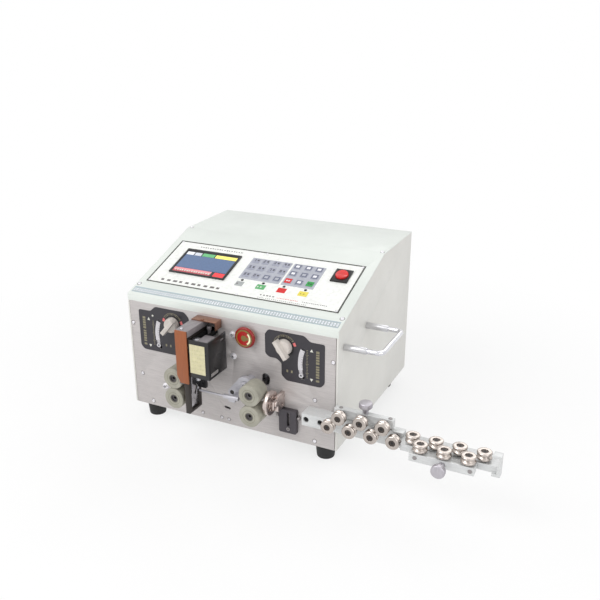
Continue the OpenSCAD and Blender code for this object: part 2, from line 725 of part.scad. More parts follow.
module front_strip() color([0.62, 0.36, 0.25]) plate_shape([head_d, head_d + strip_t])
    polygon([[column_x, column_z0 + 16], [column_x + 6, column_z0 + 3],
        [column_x + column_w - 1, column_z0 + 3], [column_x + column_w - 1, column_top],
        [column_x, column_top]]);

module safety_cover() color([0.08, 0.08, 0.09]) difference() {
    slab([cover_x0, cover_x1], [cover_d0, head_d], [cover_z0, cover_z1]);
    slab([cover_x0 - over, cover_x1 - cover_t], [cover_d0 - over, head_d - cover_t],
        [cover_z0 - over, cover_z1 + over]);
    slab([cover_x1 - cover_t - over, cover_x1 + over], [head_d - 30, head_d - 6],
        [cover_z0 + 3, cover_z0 + 10]);
    slab([cover_x1 - cover_t - over, cover_x1 + over], [cover_d0 + 5, cover_d0 + 17],
        [cover_z1 - 12, cover_z1 - 8]);
}

module belt_guard() color([0.66, 0.36, 0.22]) {
    z0 = column_top + seat_gap;
    z1 = z0 + guard_t;
    difference() {
        union() {
            slab([column_x + 1, guard_x1], [1, guard_d], [z0, z1]);
            slab([guard_x1 - guard_t, guard_x1], [1, guard_d], [cover_z1 + 0.5, z1]);
        }
        bar_z(guard_screw[0], guard_screw[1], [z0 - over, z1 + over], guard_screw_r + run_gap);
    }
    bar_z(guard_screw[0], guard_screw[1], [column_top - 5, z1 + 1], guard_screw_r);
    bar_z(guard_screw[0], guard_screw[1], [z1 + seat_gap, z1 + 1.8], guard_screw_r + 1.3);
}

// Black plate with the window in which both blades slide
module knife_frame() color([0.10, 0.10, 0.11]) difference() {
    union() {
        slab([frame_x0, frame_x1], [0, head_d], [column_z0, column_top - 10.6]);
        slab([frame_x0, frame_x1], [window[0] - 6.3, head_d], [wire_z - 36, column_z0]);
    }
    slab([frame_x0 - over, frame_x1 + over], window, [wire_z - 32, window_top]);
    bar_x([frame_x0 - over, frame_x1 + over], 7, column_z0 + 12, 2.6);
    bar_x([frame_x0 - over, frame_x1 + over], 7, column_top - 24, 2.6);
}

module belt_loop(r) {
    for (d = [screw_d, motor_y_d]) bar_z(screw_x, d, [belt_z + 0.2, belt_z + belt_h - 0.2], r);
    slab([screw_x - r, screw_x + r], [motor_y_d, screw_d], [belt_z + 0.2, belt_z + belt_h - 0.2]);
}

module drive_belt() color([0.07, 0.07, 0.07]) difference() {
    belt_loop(pulley_r + run_gap + belt_t);
    translate([0, 0, -over]) belt_loop(pulley_r + run_gap);
    translate([0, 0, over]) belt_loop(pulley_r + run_gap);
}

module lead_screw() color([0.78, 0.78, 0.80]) {
    bar_z(screw_x, screw_d, [wire_z + 23, belt_z + belt_h + 1.6], screw_r);
    bar_z(screw_x, screw_d, [belt_z - 0.8, belt_z + belt_h], pulley_r);
    bar_z(screw_x, screw_d, [belt_z - 0.8, belt_z - 0.1], pulley_r + 1.5);
    bar_z(screw_x, screw_d, [belt_z + belt_h + 0.1, belt_z + belt_h + 0.8], pulley_r + 1.5);
    bar_z(screw_x, screw_d, [belt_z + belt_h, belt_z + belt_h + 0.2], pulley_r);
}

// A blade with a notch for the wire: the apex lies apex_z above the wire, and up is its direction
module blade(x, d, z, apex_z, up) plate_x(x) difference() {
    translate([d[0], z[0]]) square([d[1] - d[0], z[1] - z[0]]);
    polygon([[wire_d - 7, up > 0 ? z[1] + over : z[0] - over], [wire_d, wire_z + apex_z],
        [wire_d + 7, up > 0 ? z[1] + over : z[0] - over]]);
}

// An outline in the d-z plane, as thick as the span x
module plate_x(x) translate([x[0], case_y0, foot_h]) mirror([0, 1, 0]) rotate([90, 0, 90])
    linear_extrude(x[1] - x[0]) children();

module upper_knife() {
    color([0.11, 0.11, 0.12]) difference() {
        union() {
            slab([upper_x, upper_x + 15.2], [14, wire_d - 4.5], [wire_z + 22, wire_z + 50]);
            slab([upper_x, upper_x + 15.2], [wire_d - 11, wire_d - 4.5], [wire_z + 3, wire_z + 23]);
            slab([upper_x, upper_x + 15.2], [wire_d - 5, wire_d + 14.5], [wire_z + 37, wire_z + 50]);
        }
        bar_z(screw_x, screw_d, [wire_z, wire_z + 60], screw_r + run_gap);
        bar_z(screw_x - 1, 22, [wire_z, wire_z + 60], 3 + run_gap);
        bar_y(screw_x + 1, wire_z + 12, [wire_d - 6, wire_d], 2.5);
    }
    color([0.82, 0.82, 0.84]) blade([upper_x - run_gap - blade_t, upper_x - run_gap],
        [wire_d - 7.5, wire_d + 14.5], [wire_z - 2, wire_z + 51], 11, -1);
}

module lower_knife() {
    lower_x = upper_x - run_gap - 2 * blade_t - 0.2;
    nut_z = [wire_z + 56, wire_z + 68];
    color([0.35, 0.30, 0.26]) {
        difference() {
            union() {
                slab([frame_x1 + 3, screw_x + 7], [wire_d + 0.5, wire_d + 14.5], nut_z);
                slab([column_x + 5.5, frame_x1 + 4], [wire_d + 5.5, wire_d + 13.5], nut_z);
            }
            bar_z(screw_x, screw_d, [wire_z + 50, wire_z + 70], screw_r + run_gap);
        }
        slab([column_x + 5.5, frame_x0 - 1], [wire_d + 5.5, wire_d + 13.5], [wire_z - 29, wire_z + 57]);
        slab([frame_x0 - 1.2, lower_x - run_gap], [wire_d - 7.5, wire_d + 13.5], [wire_z - 29, wire_z - 10]);
    }
    color([0.82, 0.82, 0.84]) blade([lower_x, lower_x + blade_t], [wire_d - 7.5, wire_d + 14.5],
        [wire_z - 29, wire_z + 1], -11, 1);
}

// Knob with a grip bar, its shaft, crank disc and crank pin; the crank starts at -35 degrees
module pressure_knob(s, tilt) front(s * knob_x, 0, knob_z) rotate([90, 0, 0]) {
    color([0.88, 0.86, 0.78]) {
        translate([0, 0, decal_t + free_gap]) rotate_extrude()
            polygon([[0, 0], [knob_r, 0], [knob_r - 0.6, 7], [knob_r - 1.8, 9.4], [0, 10]]);
        rotate(tilt) translate([-grip[0] / 2, -grip[1] / 2, 9]) cube([grip[0], grip[1], 11]);
    }
    color([0.7, 0.7, 0.7]) {
        translate([0, 0, -plate_t - free_gap]) cylinder(r = feed_shaft_r, h = plate_t + decal_t + 3);
        translate([0, 0, -plate_t - 3.3]) cylinder(r = crank_throw + 3.5, h = 3);
        rotate(-35) translate([crank_throw, 0, -carriage_d - carriage_t - 1]) cylinder(r = 2.5,
            h = carriage_t + carriage_d - plate_t - 1);
    }
}

module left_pressure_knob() pressure_knob(-1, 50);

module right_pressure_knob() pressure_knob(1, -55);

// Carriage of the upper feed roller: bearing, crank slot arm and the pin seen in the arc slot
module carriage(s, pin) color([0.55, 0.55, 0.57]) {
    z_crank = knob_z - crank_throw * sin(35);
    x_crank = s * knob_x + crank_throw * (cos(35) + 1) / 2;
    front(0, -carriage_d - carriage_t, 0) rotate([90, 0, 0]) linear_extrude(carriage_t) difference() {
        union() {
            translate([s * feed_x - guide_w / 2, wire_z + 8]) square([guide_w, knob_z + 9 - wire_z - 8]);
            translate([s > 0 ? feed_x : -knob_x - 13, z_crank - 9])
                square([knob_x + 13 - feed_x, 18]);
            translate([s > 0 ? feed_x : pin - 5, pin_z - 6])
                square([abs(pin) + 5 - feed_x, 12]);
        }
        translate([s * feed_x, wire_z + feed_z]) circle(feed_shaft_r + run_gap);
        translate([x_crank - 4.5, z_crank - 2.5 - slide_gap]) square([9, 5 + 2 * slide_gap]);
    }
    bar_y(pin, pin_z, [-carriage_d - over, 1.5], pin_r);
}

module left_carriage() carriage(-1, pin_x[0]);

module right_carriage() carriage(1, pin_x[1]);

// Rubber tyre on a steel hub, with the shaft that runs through the front plate
module feed_roller(s, z, shaft_d0) front(s * feed_x, feed_d, z) rotate([90, 0, 0]) {
    color([0.63, 0.62, 0.55]) rotate_extrude() polygon([[hub_r + run_gap, 0], [feed_r - 0.8, 0],
        [feed_r, 0.8], [feed_r, feed_len - 0.8], [feed_r - 0.8, feed_len], [hub_r + run_gap, feed_len]]);
    color([0.35, 0.35, 0.36]) difference() {
        union() {
            cylinder(r = hub_r, h = feed_len - 0.6);
            translate([0, 0, shaft_d0 - feed_d]) cylinder(r = feed_shaft_r, h = feed_d - shaft_d0 + 1);
        }
        translate([0, 0, feed_len - 3]) cylinder(r = hub_r - 1.8, h = 4);
        translate([0, 0, feed_len - 8]) cylinder(r = hub_r - 3.8, h = 6, $fn = 6);
    }
}

module left_upper_feed_roller() feed_roller(-1, wire_z + feed_z, -carriage_d - carriage_t - 4);

module right_upper_feed_roller() feed_roller(1, wire_z + feed_z, -carriage_d - carriage_t - 4);

module left_lower_feed_roller() feed_roller(-1, wire_z - feed_z, -motor_d - 18);

module right_lower_feed_roller() feed_roller(1, wire_z - feed_z, -motor_d - 18);

// Teardrop arm that carries the wire tube between the right feed rollers and the knives
module guide_arm() color([0.78, 0.78, 0.80]) {
    difference() {
        union() {
            plate_shape([arm_d, arm_d + arm_t]) {
                translate(arm_pivot) circle(arm_r[0]);
                translate(arm_tip) circle(arm_r[1]);
                polygon([for (e = [[0, 1], [1, 1], [1, -1], [0, -1]])
                    (e[0] == 0 ? arm_pivot : arm_tip) + e[1] * arm_r[e[0]] * arm_normal]);
            }
            slab([26, 38], [arm_d + 1, wire_d + 1], [wire_z - 8, wire_z - 2.5]);
            bar_x([17, 45], wire_d, wire_z, tube_seat_r);
            bar_x([-30, 18], wire_d, wire_z, tube_r);
        }
        bar_y(arm_pivot[0], arm_pivot[1], [0, arm_d + arm_t + over], 4 + run_gap);
        bar_y(arm_tip[0], arm_tip[1], [arm_d + arm_t - 3, arm_d + arm_t + over], 4);
        bar_x([-31, 46], wire_d, wire_z, tube_bore_r);
    }
}

arm_dir = (arm_tip - arm_pivot) / norm(arm_tip - arm_pivot);
arm_normal = [-arm_dir[1], arm_dir[0]];

// Disc with wire holes of rising size; it turns on the bracket's bolt
module turret_disc() color([0.80, 0.78, 0.76]) difference() {
    bar_x([turret_x, turret_x + turret_t], turret_d, wire_z, turret_r);
    bar_x([turret_x - over, turret_x + turret_t + over], turret_d, wire_z, 3 + run_gap);
    for (i = [0 : 7]) front(turret_x - over, turret_d, wire_z) rotate([i * 45, 0, 0])
        translate([0, -turret_ring, 0]) rotate([0, 90, 0])
            cylinder(r = 3.6 - i * 0.3, h = turret_t + 2 * over);
}

// Bracket with the turret's bolt, and the boss and bolt of the guide arm
module turret_bracket() color([0.74, 0.72, 0.70]) {
    x0 = turret_x + turret_t + free_gap;
    bracket_w = 6.4;
    difference() {
        union() {
            slab([x0, x0 + bracket_w], [0, 24], [wire_z - 19, wire_z + 8]);
            slab([x0, x0 + bracket_w], [20, turret_d + 6], [wire_z - 7.5, wire_z + 5]);
        }
        bar_x([x0 - over, x0 + bracket_w + over], turret_d, wire_z, 3 + run_gap);
        bar_x([x0 - over, x0 + bracket_w + over], 9, wire_z - 12, 3.2);
    }
    bar_x([turret_x - free_gap - 1, x0 + bracket_w + 2], turret_d, wire_z, 3);
    difference() {
        bar_x([turret_x - free_gap - 3, turret_x - free_gap], turret_d, wire_z, 5);
        bar_x([turret_x - free_gap - 4, turret_x - free_gap - 1.5], turret_d, wire_z, 2.2, $fn = 6);
    }
    bar_x([x0 + bracket_w + run_gap, x0 + bracket_w + 3], turret_d, wire_z, 5, $fn = 6);
    bar_y(arm_pivot[0], arm_pivot[1], [0, arm_d - free_gap], 8);
    bar_y(arm_pivot[0], arm_pivot[1], [1, arm_d + arm_t + 1], 4);
    difference() {
        bar_y(arm_pivot[0], arm_pivot[1], [arm_d + arm_t + free_gap, arm_d + arm_t + 3.3], 6.5);
        bar_y(arm_pivot[0], arm_pivot[1], [arm_d + arm_t + 1.8, arm_d + arm_t + 5], 2.6, $fn = 6);
    }
}

// Black block with an upright slot, a pin with a head on each side and a clamping screw
module slotted_block() {
    color([0.16, 0.16, 0.17]) difference() {
        plate_shape([0, block_d]) translate([block_x[0] + block_corner, block_z[0] + block_corner])
            offset(block_corner) square([block_x[1] - block_x[0] - 2 * block_corner,
                block_z[1] - block_z[0] - 2 * block_corner]);
        slab([block_mid - 2.5, block_mid + 2.5], [-over, block_d + over], block_slot);
        bar_x([block_x[0] - over, block_x[1] + over], block_d / 2, block_pin_z, 1.5 + run_gap);
        bar_y(block_mid, block_screw_z, [1, block_d + over], 3.2 + run_gap);
    }
    color([0.8, 0.8, 0.82]) {
        for (i = [0, 1]) mirror([i, 0, 0]) translate([i == 0 ? block_x[0] : -block_x[1], 0, 0]) {
            bar_x([-5, 12], block_d / 2, block_pin_z, 1.5);
            bar_x([-5.5, -1.5], block_d / 2, block_pin_z, block_pin_r[i]);
        }
        difference() {
            bar_y(block_mid, block_screw_z, [1 + seat_gap, block_d + 0.6], 3.2);
            bar_y(block_mid, block_screw_z, [block_d - 2, block_d + 2], 1.8, $fn = 6);
        }
    }
}

// Axle with a spacer, a sunk socket head and a threaded end; it points along +Z here, its seat is
// at 0 and the roller starts at h0
module roller_axle(h0, l) {
    translate([0, 0, seat_gap]) cylinder(r = axle_r + 1, h = h0 - free_gap - seat_gap);
    translate([0, 0, -l]) cylinder(r = axle_r, h = l + h0 + groove_roller_t - 3);
    translate([0, 0, h0 + groove_roller_t - 3.5]) difference() {
        cylinder(r = axle_r + 1.6, h = 2.5);
        translate([0, 0, 1]) cylinder(r = 1.8, h = 3, $fn = 6);
    }
}

module axle_hole(l) translate([0, 0, -l - seat_gap]) cylinder(r = axle_r + run_gap, h = l + over);

module groove_roller() {
    t = groove_roller_t;
    rotate_extrude() polygon([[axle_r + run_gap, 0], [groove_roller_r - 1.2, 0], [groove_roller_r, 1.2],
        [groove_roller_r, t / 2 - 2.6], [groove_r, t / 2], [groove_roller_r, t / 2 + 2.6],
        [groove_roller_r, t - 1.2], [groove_roller_r - 1.2, t], [axle_r + 2.1, t], [axle_r + 2.1, t - 3.8],
        [axle_r + run_gap, t - 3.8]]);
}

roller_d0 = wire_d - groove_roller_t / 2;
roller_z0 = flat_roller_z - groove_roller_t / 2;

module standing_roller(x, z) color([0.80, 0.79, 0.77]) front(x, roller_d0, z) rotate([90, 0, 0])
    groove_roller();

module lying_roller(x, d) color([0.80, 0.79, 0.77]) front(x, d, roller_z0) groove_roller();

// Places of the axles, each at its seat and with its axis along +Z
module bottom_axles() for (k = [0 : 3])
    front(bottom_x + k * roller_pitch, rail_d + rail_t, bottom_z) rotate([90, 0, 0]) children();

module rear_axles() for (k = [0 : 3]) front(rear_x + k * roller_pitch, rear_d, flat_z[1]) children();

module top_axles() for (k = [0 : 2])
    front(top_x + k * roller_pitch, upper_block_d[1], top_z) rotate([90, 0, 0]) children();

module front_axles() for (k = [0 : 2])
    front(front_x + k * roller_pitch, front_roller_d, front_block_z[1]) children();

// Mount block, upright rail, lying rail, end guide, their axles and guide rods
module straightener_rails() {
    color([0.85, 0.86, 0.87]) {
        difference() {
            slab([mount_x, rail_x1 - seat_gap], [0, 27], [rail_z0 - 1.4, wire_z - 9]);
            for (x = mount_screw_x) {
                bar_y(mount_x + x, mount_screw_z, [20, 28], mount_screw_r + 2.3);
                bar_y(mount_x + x, mount_screw_z, [-over, 28], mount_screw_r + run_gap);
            }
        }
        difference() {
            slab([rail_x1, rail_x2 - seat_gap], [rail_d, rail_d + rail_t], [rail_z0, rail_z1]);
            bar_z(press_x1, press_d1, [rail_z0 + 3, rail_z1 + over], press_r + run_gap);
            for (x = rods_1)
                bar_z(x, press_d1, [rail_z1 - rod_l - seat_gap, rail_z1 + over], guide_rod_r + run_gap);
            bottom_axles() axle_hole(axle_l);
        }
        difference() {
            slab([rail_x2, rail_end - seat_gap], [flat_d0, flat_d1], flat_z);
            // Corner cut away behind the last upright roller
            slab([rail_x2 - over, bottom_x + 3 * roller_pitch + groove_roller_r + 2 * free_gap],
                [roller_d0 - 2 * free_gap, flat_d1 + over], [flat_z[0] - over, flat_z[1] + over]);
            bar_y(press_x2, press_z2, [flat_d0 + 3, flat_d1 + over], press_r + run_gap);
            for (x = rods_2)
                bar_y(x, press_z2, [flat_d1 - rod_l - seat_gap, flat_d1 + over], guide_rod_r + run_gap);
            rear_axles() axle_hole(axle_l);
        }
        difference() {
            slab([rail_end - 7, rail_end + 5], [wire_d - 7.5, wire_d + 5], [wire_z - 24, wire_z + 10]);
            slab([rail_end - 8, rail_end], [wire_d - 9, wire_d + 6],
                [flat_z[0] - seat_gap, flat_z[1] + seat_gap]);
            slab([rail_end - 8, rail_end + 2], [wire_d - 9, wire_d + 6], [flat_z[1], wire_z + 6]);
            bar_x([rail_end - over, rail_end + 6], wire_d, wire_z - 1, 3);
        }
    }
    color([0.75, 0.75, 0.77]) {
        bottom_axles() roller_axle(roller_d0 - rail_d - rail_t, axle_l);
        rear_axles() roller_axle(roller_z0 - flat_z[1], axle_l);
        for (x = rods_1) bar_z(x, press_d1, [rail_z1 - rod_l, upper_block_z[1] + rod_end], guide_rod_r);
        for (x = rods_2) bar_y(x, press_z2, [flat_d1 - rod_l, front_block_d[1] + rod_end], guide_rod_r);
    }
}

module upper_slide_block() {
    color([0.86, 0.87, 0.88]) difference() {
        slab([rods_1[0] - 9.5, rods_1[1] + 6], upper_block_d, upper_block_z);
        for (x = rods_1) bar_z(x, press_d1, upper_block_z + over * [-1, 1], guide_rod_r + run_gap);
        bar_z(press_x1, press_d1, upper_block_z + over * [-1, 1], press_r + run_gap);
        top_axles() axle_hole(short_axle_l);
    }
    color([0.75, 0.75, 0.77]) top_axles() roller_axle(roller_d0 - upper_block_d[1], short_axle_l);
}

module front_slide_block() {
    color([0.86, 0.87, 0.88]) difference() {
        slab([rods_2[0] - 9, rods_2[1] + 5.5], front_block_d, front_block_z);
        for (x = rods_2) bar_y(x, press_z2, front_block_d + over * [-1, 1], guide_rod_r + run_gap);
        bar_y(press_x2, press_z2, front_block_d + over * [-1, 1], press_r + run_gap);
        front_axles() axle_hole(short_axle_l);
    }
    color([0.75, 0.75, 0.77]) front_axles() roller_axle(roller_z0 - front_block_z[1], short_axle_l);
}

// Screw with a round head on a cone; it points along +Z here and the block's face is at 0
module press_screw(reach, cone) color([0.78, 0.77, 0.80]) {
    translate([0, 0, -reach]) cylinder(r = press_r, h = reach + 2);
    translate([0, 0, free_gap]) cylinder(r = 4.5, h = 4.5);
    translate([0, 0, 4.5]) cylinder(r1 = 4.5, r2 = 8, h = cone);
    translate([0, 0, cone + 4.4]) rotate_extrude() polygon([[0, 0], [head_r - 1, 0], [head_r, 1],
        [head_r, head_t - 1], [head_r - 1, head_t], [0, head_t]]);
}

module upper_press_screw() front(press_x1, press_d1, upper_block_z[1])
    press_screw(upper_block_z[1] - rail_z1 + 12, 5);

module front_press_screw() front(press_x2, front_block_d[1], press_z2) rotate([90, 0, 0])
    press_screw(front_block_d[1] - flat_d1 + 15, 9.5);

base_tray();
front_plate();
side_panels();
top_cover();
rear_panel();
rubber_feet();
case_screws();
carry_handles();
panel_sheet();
display_unit();
panel_keys();
switch_frame();
power_rocker();
control_plates();
stop_collar();
stop_button();
drive_motors();
power_supply();
control_board();
rear_fittings();
cutter_column();
front_strip();
safety_cover();
belt_guard();
knife_frame();
drive_belt();
lead_screw();
upper_knife();
lower_knife();
left_pressure_knob();
right_pressure_knob();
left_carriage();
right_carriage();
left_upper_feed_roller();
right_upper_feed_roller();
left_lower_feed_roller();
right_lower_feed_roller();
guide_arm();
turret_disc();
turret_bracket();
slotted_block();
straightener_rails();
upper_slide_block();
front_slide_block();
upper_press_screw();
front_press_screw();
standing_roller(bottom_x, bottom_z);  // bottom_roller_1
standing_roller(bottom_x + roller_pitch, bottom_z);  // bottom_roller_2
standing_roller(bottom_x + 2 * roller_pitch, bottom_z);  // bottom_roller_3
standing_roller(bottom_x + 3 * roller_pitch, bottom_z);  // bottom_roller_4
standing_roller(top_x, top_z);  // top_roller_1
standing_roller(top_x + roller_pitch, top_z);  // top_roller_2
standing_roller(top_x + 2 * roller_pitch, top_z);  // top_roller_3
lying_roller(rear_x, rear_d);  // rear_roller_1
lying_roller(rear_x + roller_pitch, rear_d);  // rear_roller_2
lying_roller(rear_x + 2 * roller_pitch, rear_d);  // rear_roller_3
lying_roller(rear_x + 3 * roller_pitch, rear_d);  // rear_roller_4
lying_roller(front_x, front_roller_d);  // front_roller_1
lying_roller(front_x + roller_pitch, front_roller_d);  // front_roller_2
lying_roller(front_x + 2 * roller_pitch, front_roller_d);  // front_roller_3
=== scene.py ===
import json
import math

import bmesh
import bpy
from mathutils import Matrix, Vector


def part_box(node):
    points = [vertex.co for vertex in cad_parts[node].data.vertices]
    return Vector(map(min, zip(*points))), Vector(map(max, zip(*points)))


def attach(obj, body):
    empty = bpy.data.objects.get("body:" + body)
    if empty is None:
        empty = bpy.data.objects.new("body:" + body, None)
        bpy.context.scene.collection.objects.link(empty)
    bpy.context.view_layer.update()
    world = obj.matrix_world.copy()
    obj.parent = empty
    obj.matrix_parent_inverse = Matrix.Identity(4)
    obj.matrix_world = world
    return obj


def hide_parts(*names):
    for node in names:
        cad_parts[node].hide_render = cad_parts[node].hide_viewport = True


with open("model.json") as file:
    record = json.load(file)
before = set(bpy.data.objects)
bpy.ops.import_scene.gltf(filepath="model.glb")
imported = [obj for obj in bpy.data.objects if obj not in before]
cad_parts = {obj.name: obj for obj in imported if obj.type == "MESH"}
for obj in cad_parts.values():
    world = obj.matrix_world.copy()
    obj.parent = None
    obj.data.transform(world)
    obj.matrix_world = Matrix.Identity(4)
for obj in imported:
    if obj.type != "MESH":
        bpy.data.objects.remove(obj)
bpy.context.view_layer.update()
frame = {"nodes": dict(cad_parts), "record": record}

print("frame loaded:", len(frame["nodes"]), "nodes")

scene = bpy.context.scene
scene.view_settings.view_transform = "Standard"
nodes = frame["nodes"]
slotOf = {part["node"]: part["material_slot"] for part in frame["record"]["subparts"]}
bodyOf = {node: body for body, members in frame["record"]["behaviour"]["bodies"].items() for node in members}

# where the case stands, read from the frame, in metres
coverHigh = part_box("top_cover")[1]
plateLow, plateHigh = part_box("front_plate")
footTop = plateLow.z
plateY = plateLow.y
lipHeight = 0.012
flatDepth = 0.150
foldZ = plateHigh.z + lipHeight
slopeAngle = math.atan2(coverHigh.z - foldZ, coverHigh.y - flatDepth - plateY)


# x across, d out from the front plate, z up from the case bottom, in millimetres
def front(x, d, z):
    return Vector((x / 1000, plateY - d / 1000, footTop + z / 1000))


# frames in which flat things are drawn: x to the right, y up the surface, z out of it
def frontFrame(x, z, d=0.0):
    return Matrix.Translation(front(x, d, z)) @ Matrix.Rotation(math.pi / 2, 4, "X")


def slopeFrame(u, v):
    rise = v / 1000
    place = Vector((u / 1000, plateY + rise * math.cos(slopeAngle), foldZ + rise * math.sin(slopeAngle)))
    return Matrix.Translation(place) @ Matrix.Rotation(slopeAngle, 4, "X")


# materials: noise scales per metre, shades as factors of the colour, gloss as reach about the roughness
surfaceLook = {
    "contrast": (0.3, 0.7), "bumpHeight": 0.0002, "bumpDetail": 2.0,
    "paint": {"cloud": 9.0, "shades": (0.975, 1.012), "sheen": 40.0, "gloss": (-0.06, 0.08), "coat": 0.15,
              "grain": 900.0, "depth": 0.12},
    "brushed": {"lines": 45.0, "detail": 4.0, "rough": 0.7, "shades": (0.9, 1.07), "gloss": (-0.07, 0.1)},
    "plated": {"cloud": 70.0, "detail": 4.0, "shades": (0.93, 1.03), "gloss": (0.0, 0.09)},
    "moulded": {"cloud": 55.0, "detail": 5.0, "dark": 0.93, "sheen": 110.0, "gloss": (-0.06, 0.08)},
    "printed": {"cloud": 160.0, "shades": (0.96, 1.03), "sheen": 60.0, "gloss": (-0.04, 0.06)},
    "screen": {"cloud": 300.0, "shades": (0.94, 1.04), "roughness": 0.12, "coat": 0.6, "glow": 0.35},
}


# a display colour as the linear one that Blender takes
def linear(color):
    return [c / 12.92 if c <= 0.04045 else ((c + 0.055) / 1.055) ** 2.4 for c in color] + [1.0]


# values for a shader node's inputs by their names, and links into them in their order
def setInputs(node, values):
    for socket, value in values.items():
        node.inputs[socket].default_value = value


def joinInputs(tree, node, *values):
    for value, socket in zip(values, node.inputs):
        tree.links.new(value, socket)


# a principled shader with its node tree at hand
def shader(name, color, roughness, metallic=0.0, coat=0.0, specular=0.5):
    material = bpy.data.materials.new(name)
    material.use_nodes = True
    tree = material.node_tree
    skin = tree.nodes["Principled BSDF"]
    setInputs(skin, {"Base Color": linear(color), "Roughness": roughness, "Metallic": metallic,
                     "Coat Weight": coat, "Specular IOR Level": specular})
    material.diffuse_color = linear(color)
    return material, tree, skin


# a noise on object coordinates, stretched along the axes
def noise(tree, scale, stretch=(1, 1, 1), detail=3.0, rough=0.55):
    coords = tree.nodes.new("ShaderNodeTexCoord")
    mapping = tree.nodes.new("ShaderNodeMapping")
    setInputs(mapping, {"Scale": stretch})
    texture = tree.nodes.new("ShaderNodeTexNoise")
    setInputs(texture, {"Scale": scale, "Detail": detail, "Roughness": rough})
    tree.links.new(coords.outputs["Object"], mapping.inputs["Vector"])
    tree.links.new(mapping.outputs["Vector"], texture.inputs["Vector"])
    return texture.outputs["Fac"]


def spread(tree, value, low, high, reach=surfaceLook["contrast"]):
    ranger = tree.nodes.new("ShaderNodeMapRange")
    setInputs(ranger, {"From Min": reach[0], "From Max": reach[1], "To Min": low, "To Max": high})
    tree.links.new(value, ranger.inputs["Value"])
    return ranger.outputs["Result"]


def tint(tree, skin, value, color, shades):
    ramp = tree.nodes.new("ShaderNodeValToRGB")
    for stop, position, factor in zip(ramp.color_ramp.elements, surfaceLook["contrast"], shades):
        stop.position = position
        stop.color = linear([min(1.0, c * factor) for c in color])
    tree.links.new(value, ramp.inputs["Fac"])
    tree.links.new(ramp.outputs["Color"], skin.inputs["Base Color"])


def polish(tree, skin, value, roughness, gloss):
    shine = spread(tree, value, roughness + gloss[0], roughness + gloss[1])
    tree.links.new(shine, skin.inputs["Roughness"])


def emboss(tree, skin, value, strength):
    bump = tree.nodes.new("ShaderNodeBump")
    setInputs(bump, {"Strength": strength, "Distance": surfaceLook["bumpHeight"]})
    tree.links.new(value, bump.inputs["Height"])
    tree.links.new(bump.outputs["Normal"], skin.inputs["Normal"])


# sprayed paint: a faint cloud in the colour and the skin of an orange
def paintedSheet(name, color, roughness=0.42):
    look = surfaceLook["paint"]
    material, tree, skin = shader(name, color, roughness, coat=look["coat"])
    tint(tree, skin, noise(tree, look["cloud"]), color, look["shades"])
    polish(tree, skin, noise(tree, look["sheen"]), roughness, look["gloss"])
    emboss(tree, skin, noise(tree, look["grain"], detail=surfaceLook["bumpDetail"]), look["depth"])
    return material


# metal with grinding lines along one axis
def brushedMetal(name, color, roughness, stretch=(1, 60, 60), metallic=1.0, depth=0.12):
    look = surfaceLook["brushed"]
    material, tree, skin = shader(name, color, roughness, metallic)
    lines = noise(tree, look["lines"], stretch, look["detail"], look["rough"])
    tint(tree, skin, lines, color, look["shades"])
    polish(tree, skin, lines, roughness, look["gloss"])
    emboss(tree, skin, lines, depth)
    return material


# plated or polished metal with faint smudges
def platedMetal(name, color, roughness, metallic=1.0):
    look = surfaceLook["plated"]
    material, tree, skin = shader(name, color, roughness, metallic)
    smudge = noise(tree, look["cloud"], detail=look["detail"])
    tint(tree, skin, smudge, color, look["shades"])
    polish(tree, skin, smudge, roughness, look["gloss"])
    return material


# moulded plastic or rubber with a fine grain
def moulded(name, color, roughness, grain=1400.0, depth=0.25, coat=0.0, wear=1.12):
    look = surfaceLook["moulded"]
    material, tree, skin = shader(name, color, roughness, coat=coat)
    tint(tree, skin, noise(tree, look["cloud"], detail=look["detail"]), color, (look["dark"], wear))
    polish(tree, skin, noise(tree, look["sheen"]), roughness, look["gloss"])
    emboss(tree, skin, noise(tree, grain, detail=surfaceLook["bumpDetail"]), depth)
    return material


# ink or film: nearly even, with a slight mottle
def printed(name, color, roughness=0.38, coat=0.1):
    look = surfaceLook["printed"]
    material, tree, skin = shader(name, color, roughness, coat=coat)
    tint(tree, skin, noise(tree, look["cloud"]), color, look["shades"])
    polish(tree, skin, noise(tree, look["sheen"]), roughness, look["gloss"])
    return material


# a lit screen colour behind its window
def litScreen(name, color):
    look = surfaceLook["screen"]
    material, tree, skin = shader(name, color, look["roughness"], coat=look["coat"])
    tint(tree, skin, noise(tree, look["cloud"]), color, look["shades"])
    setInputs(skin, {"Emission Color": linear(color), "Emission Strength": look["glow"]})
    return material


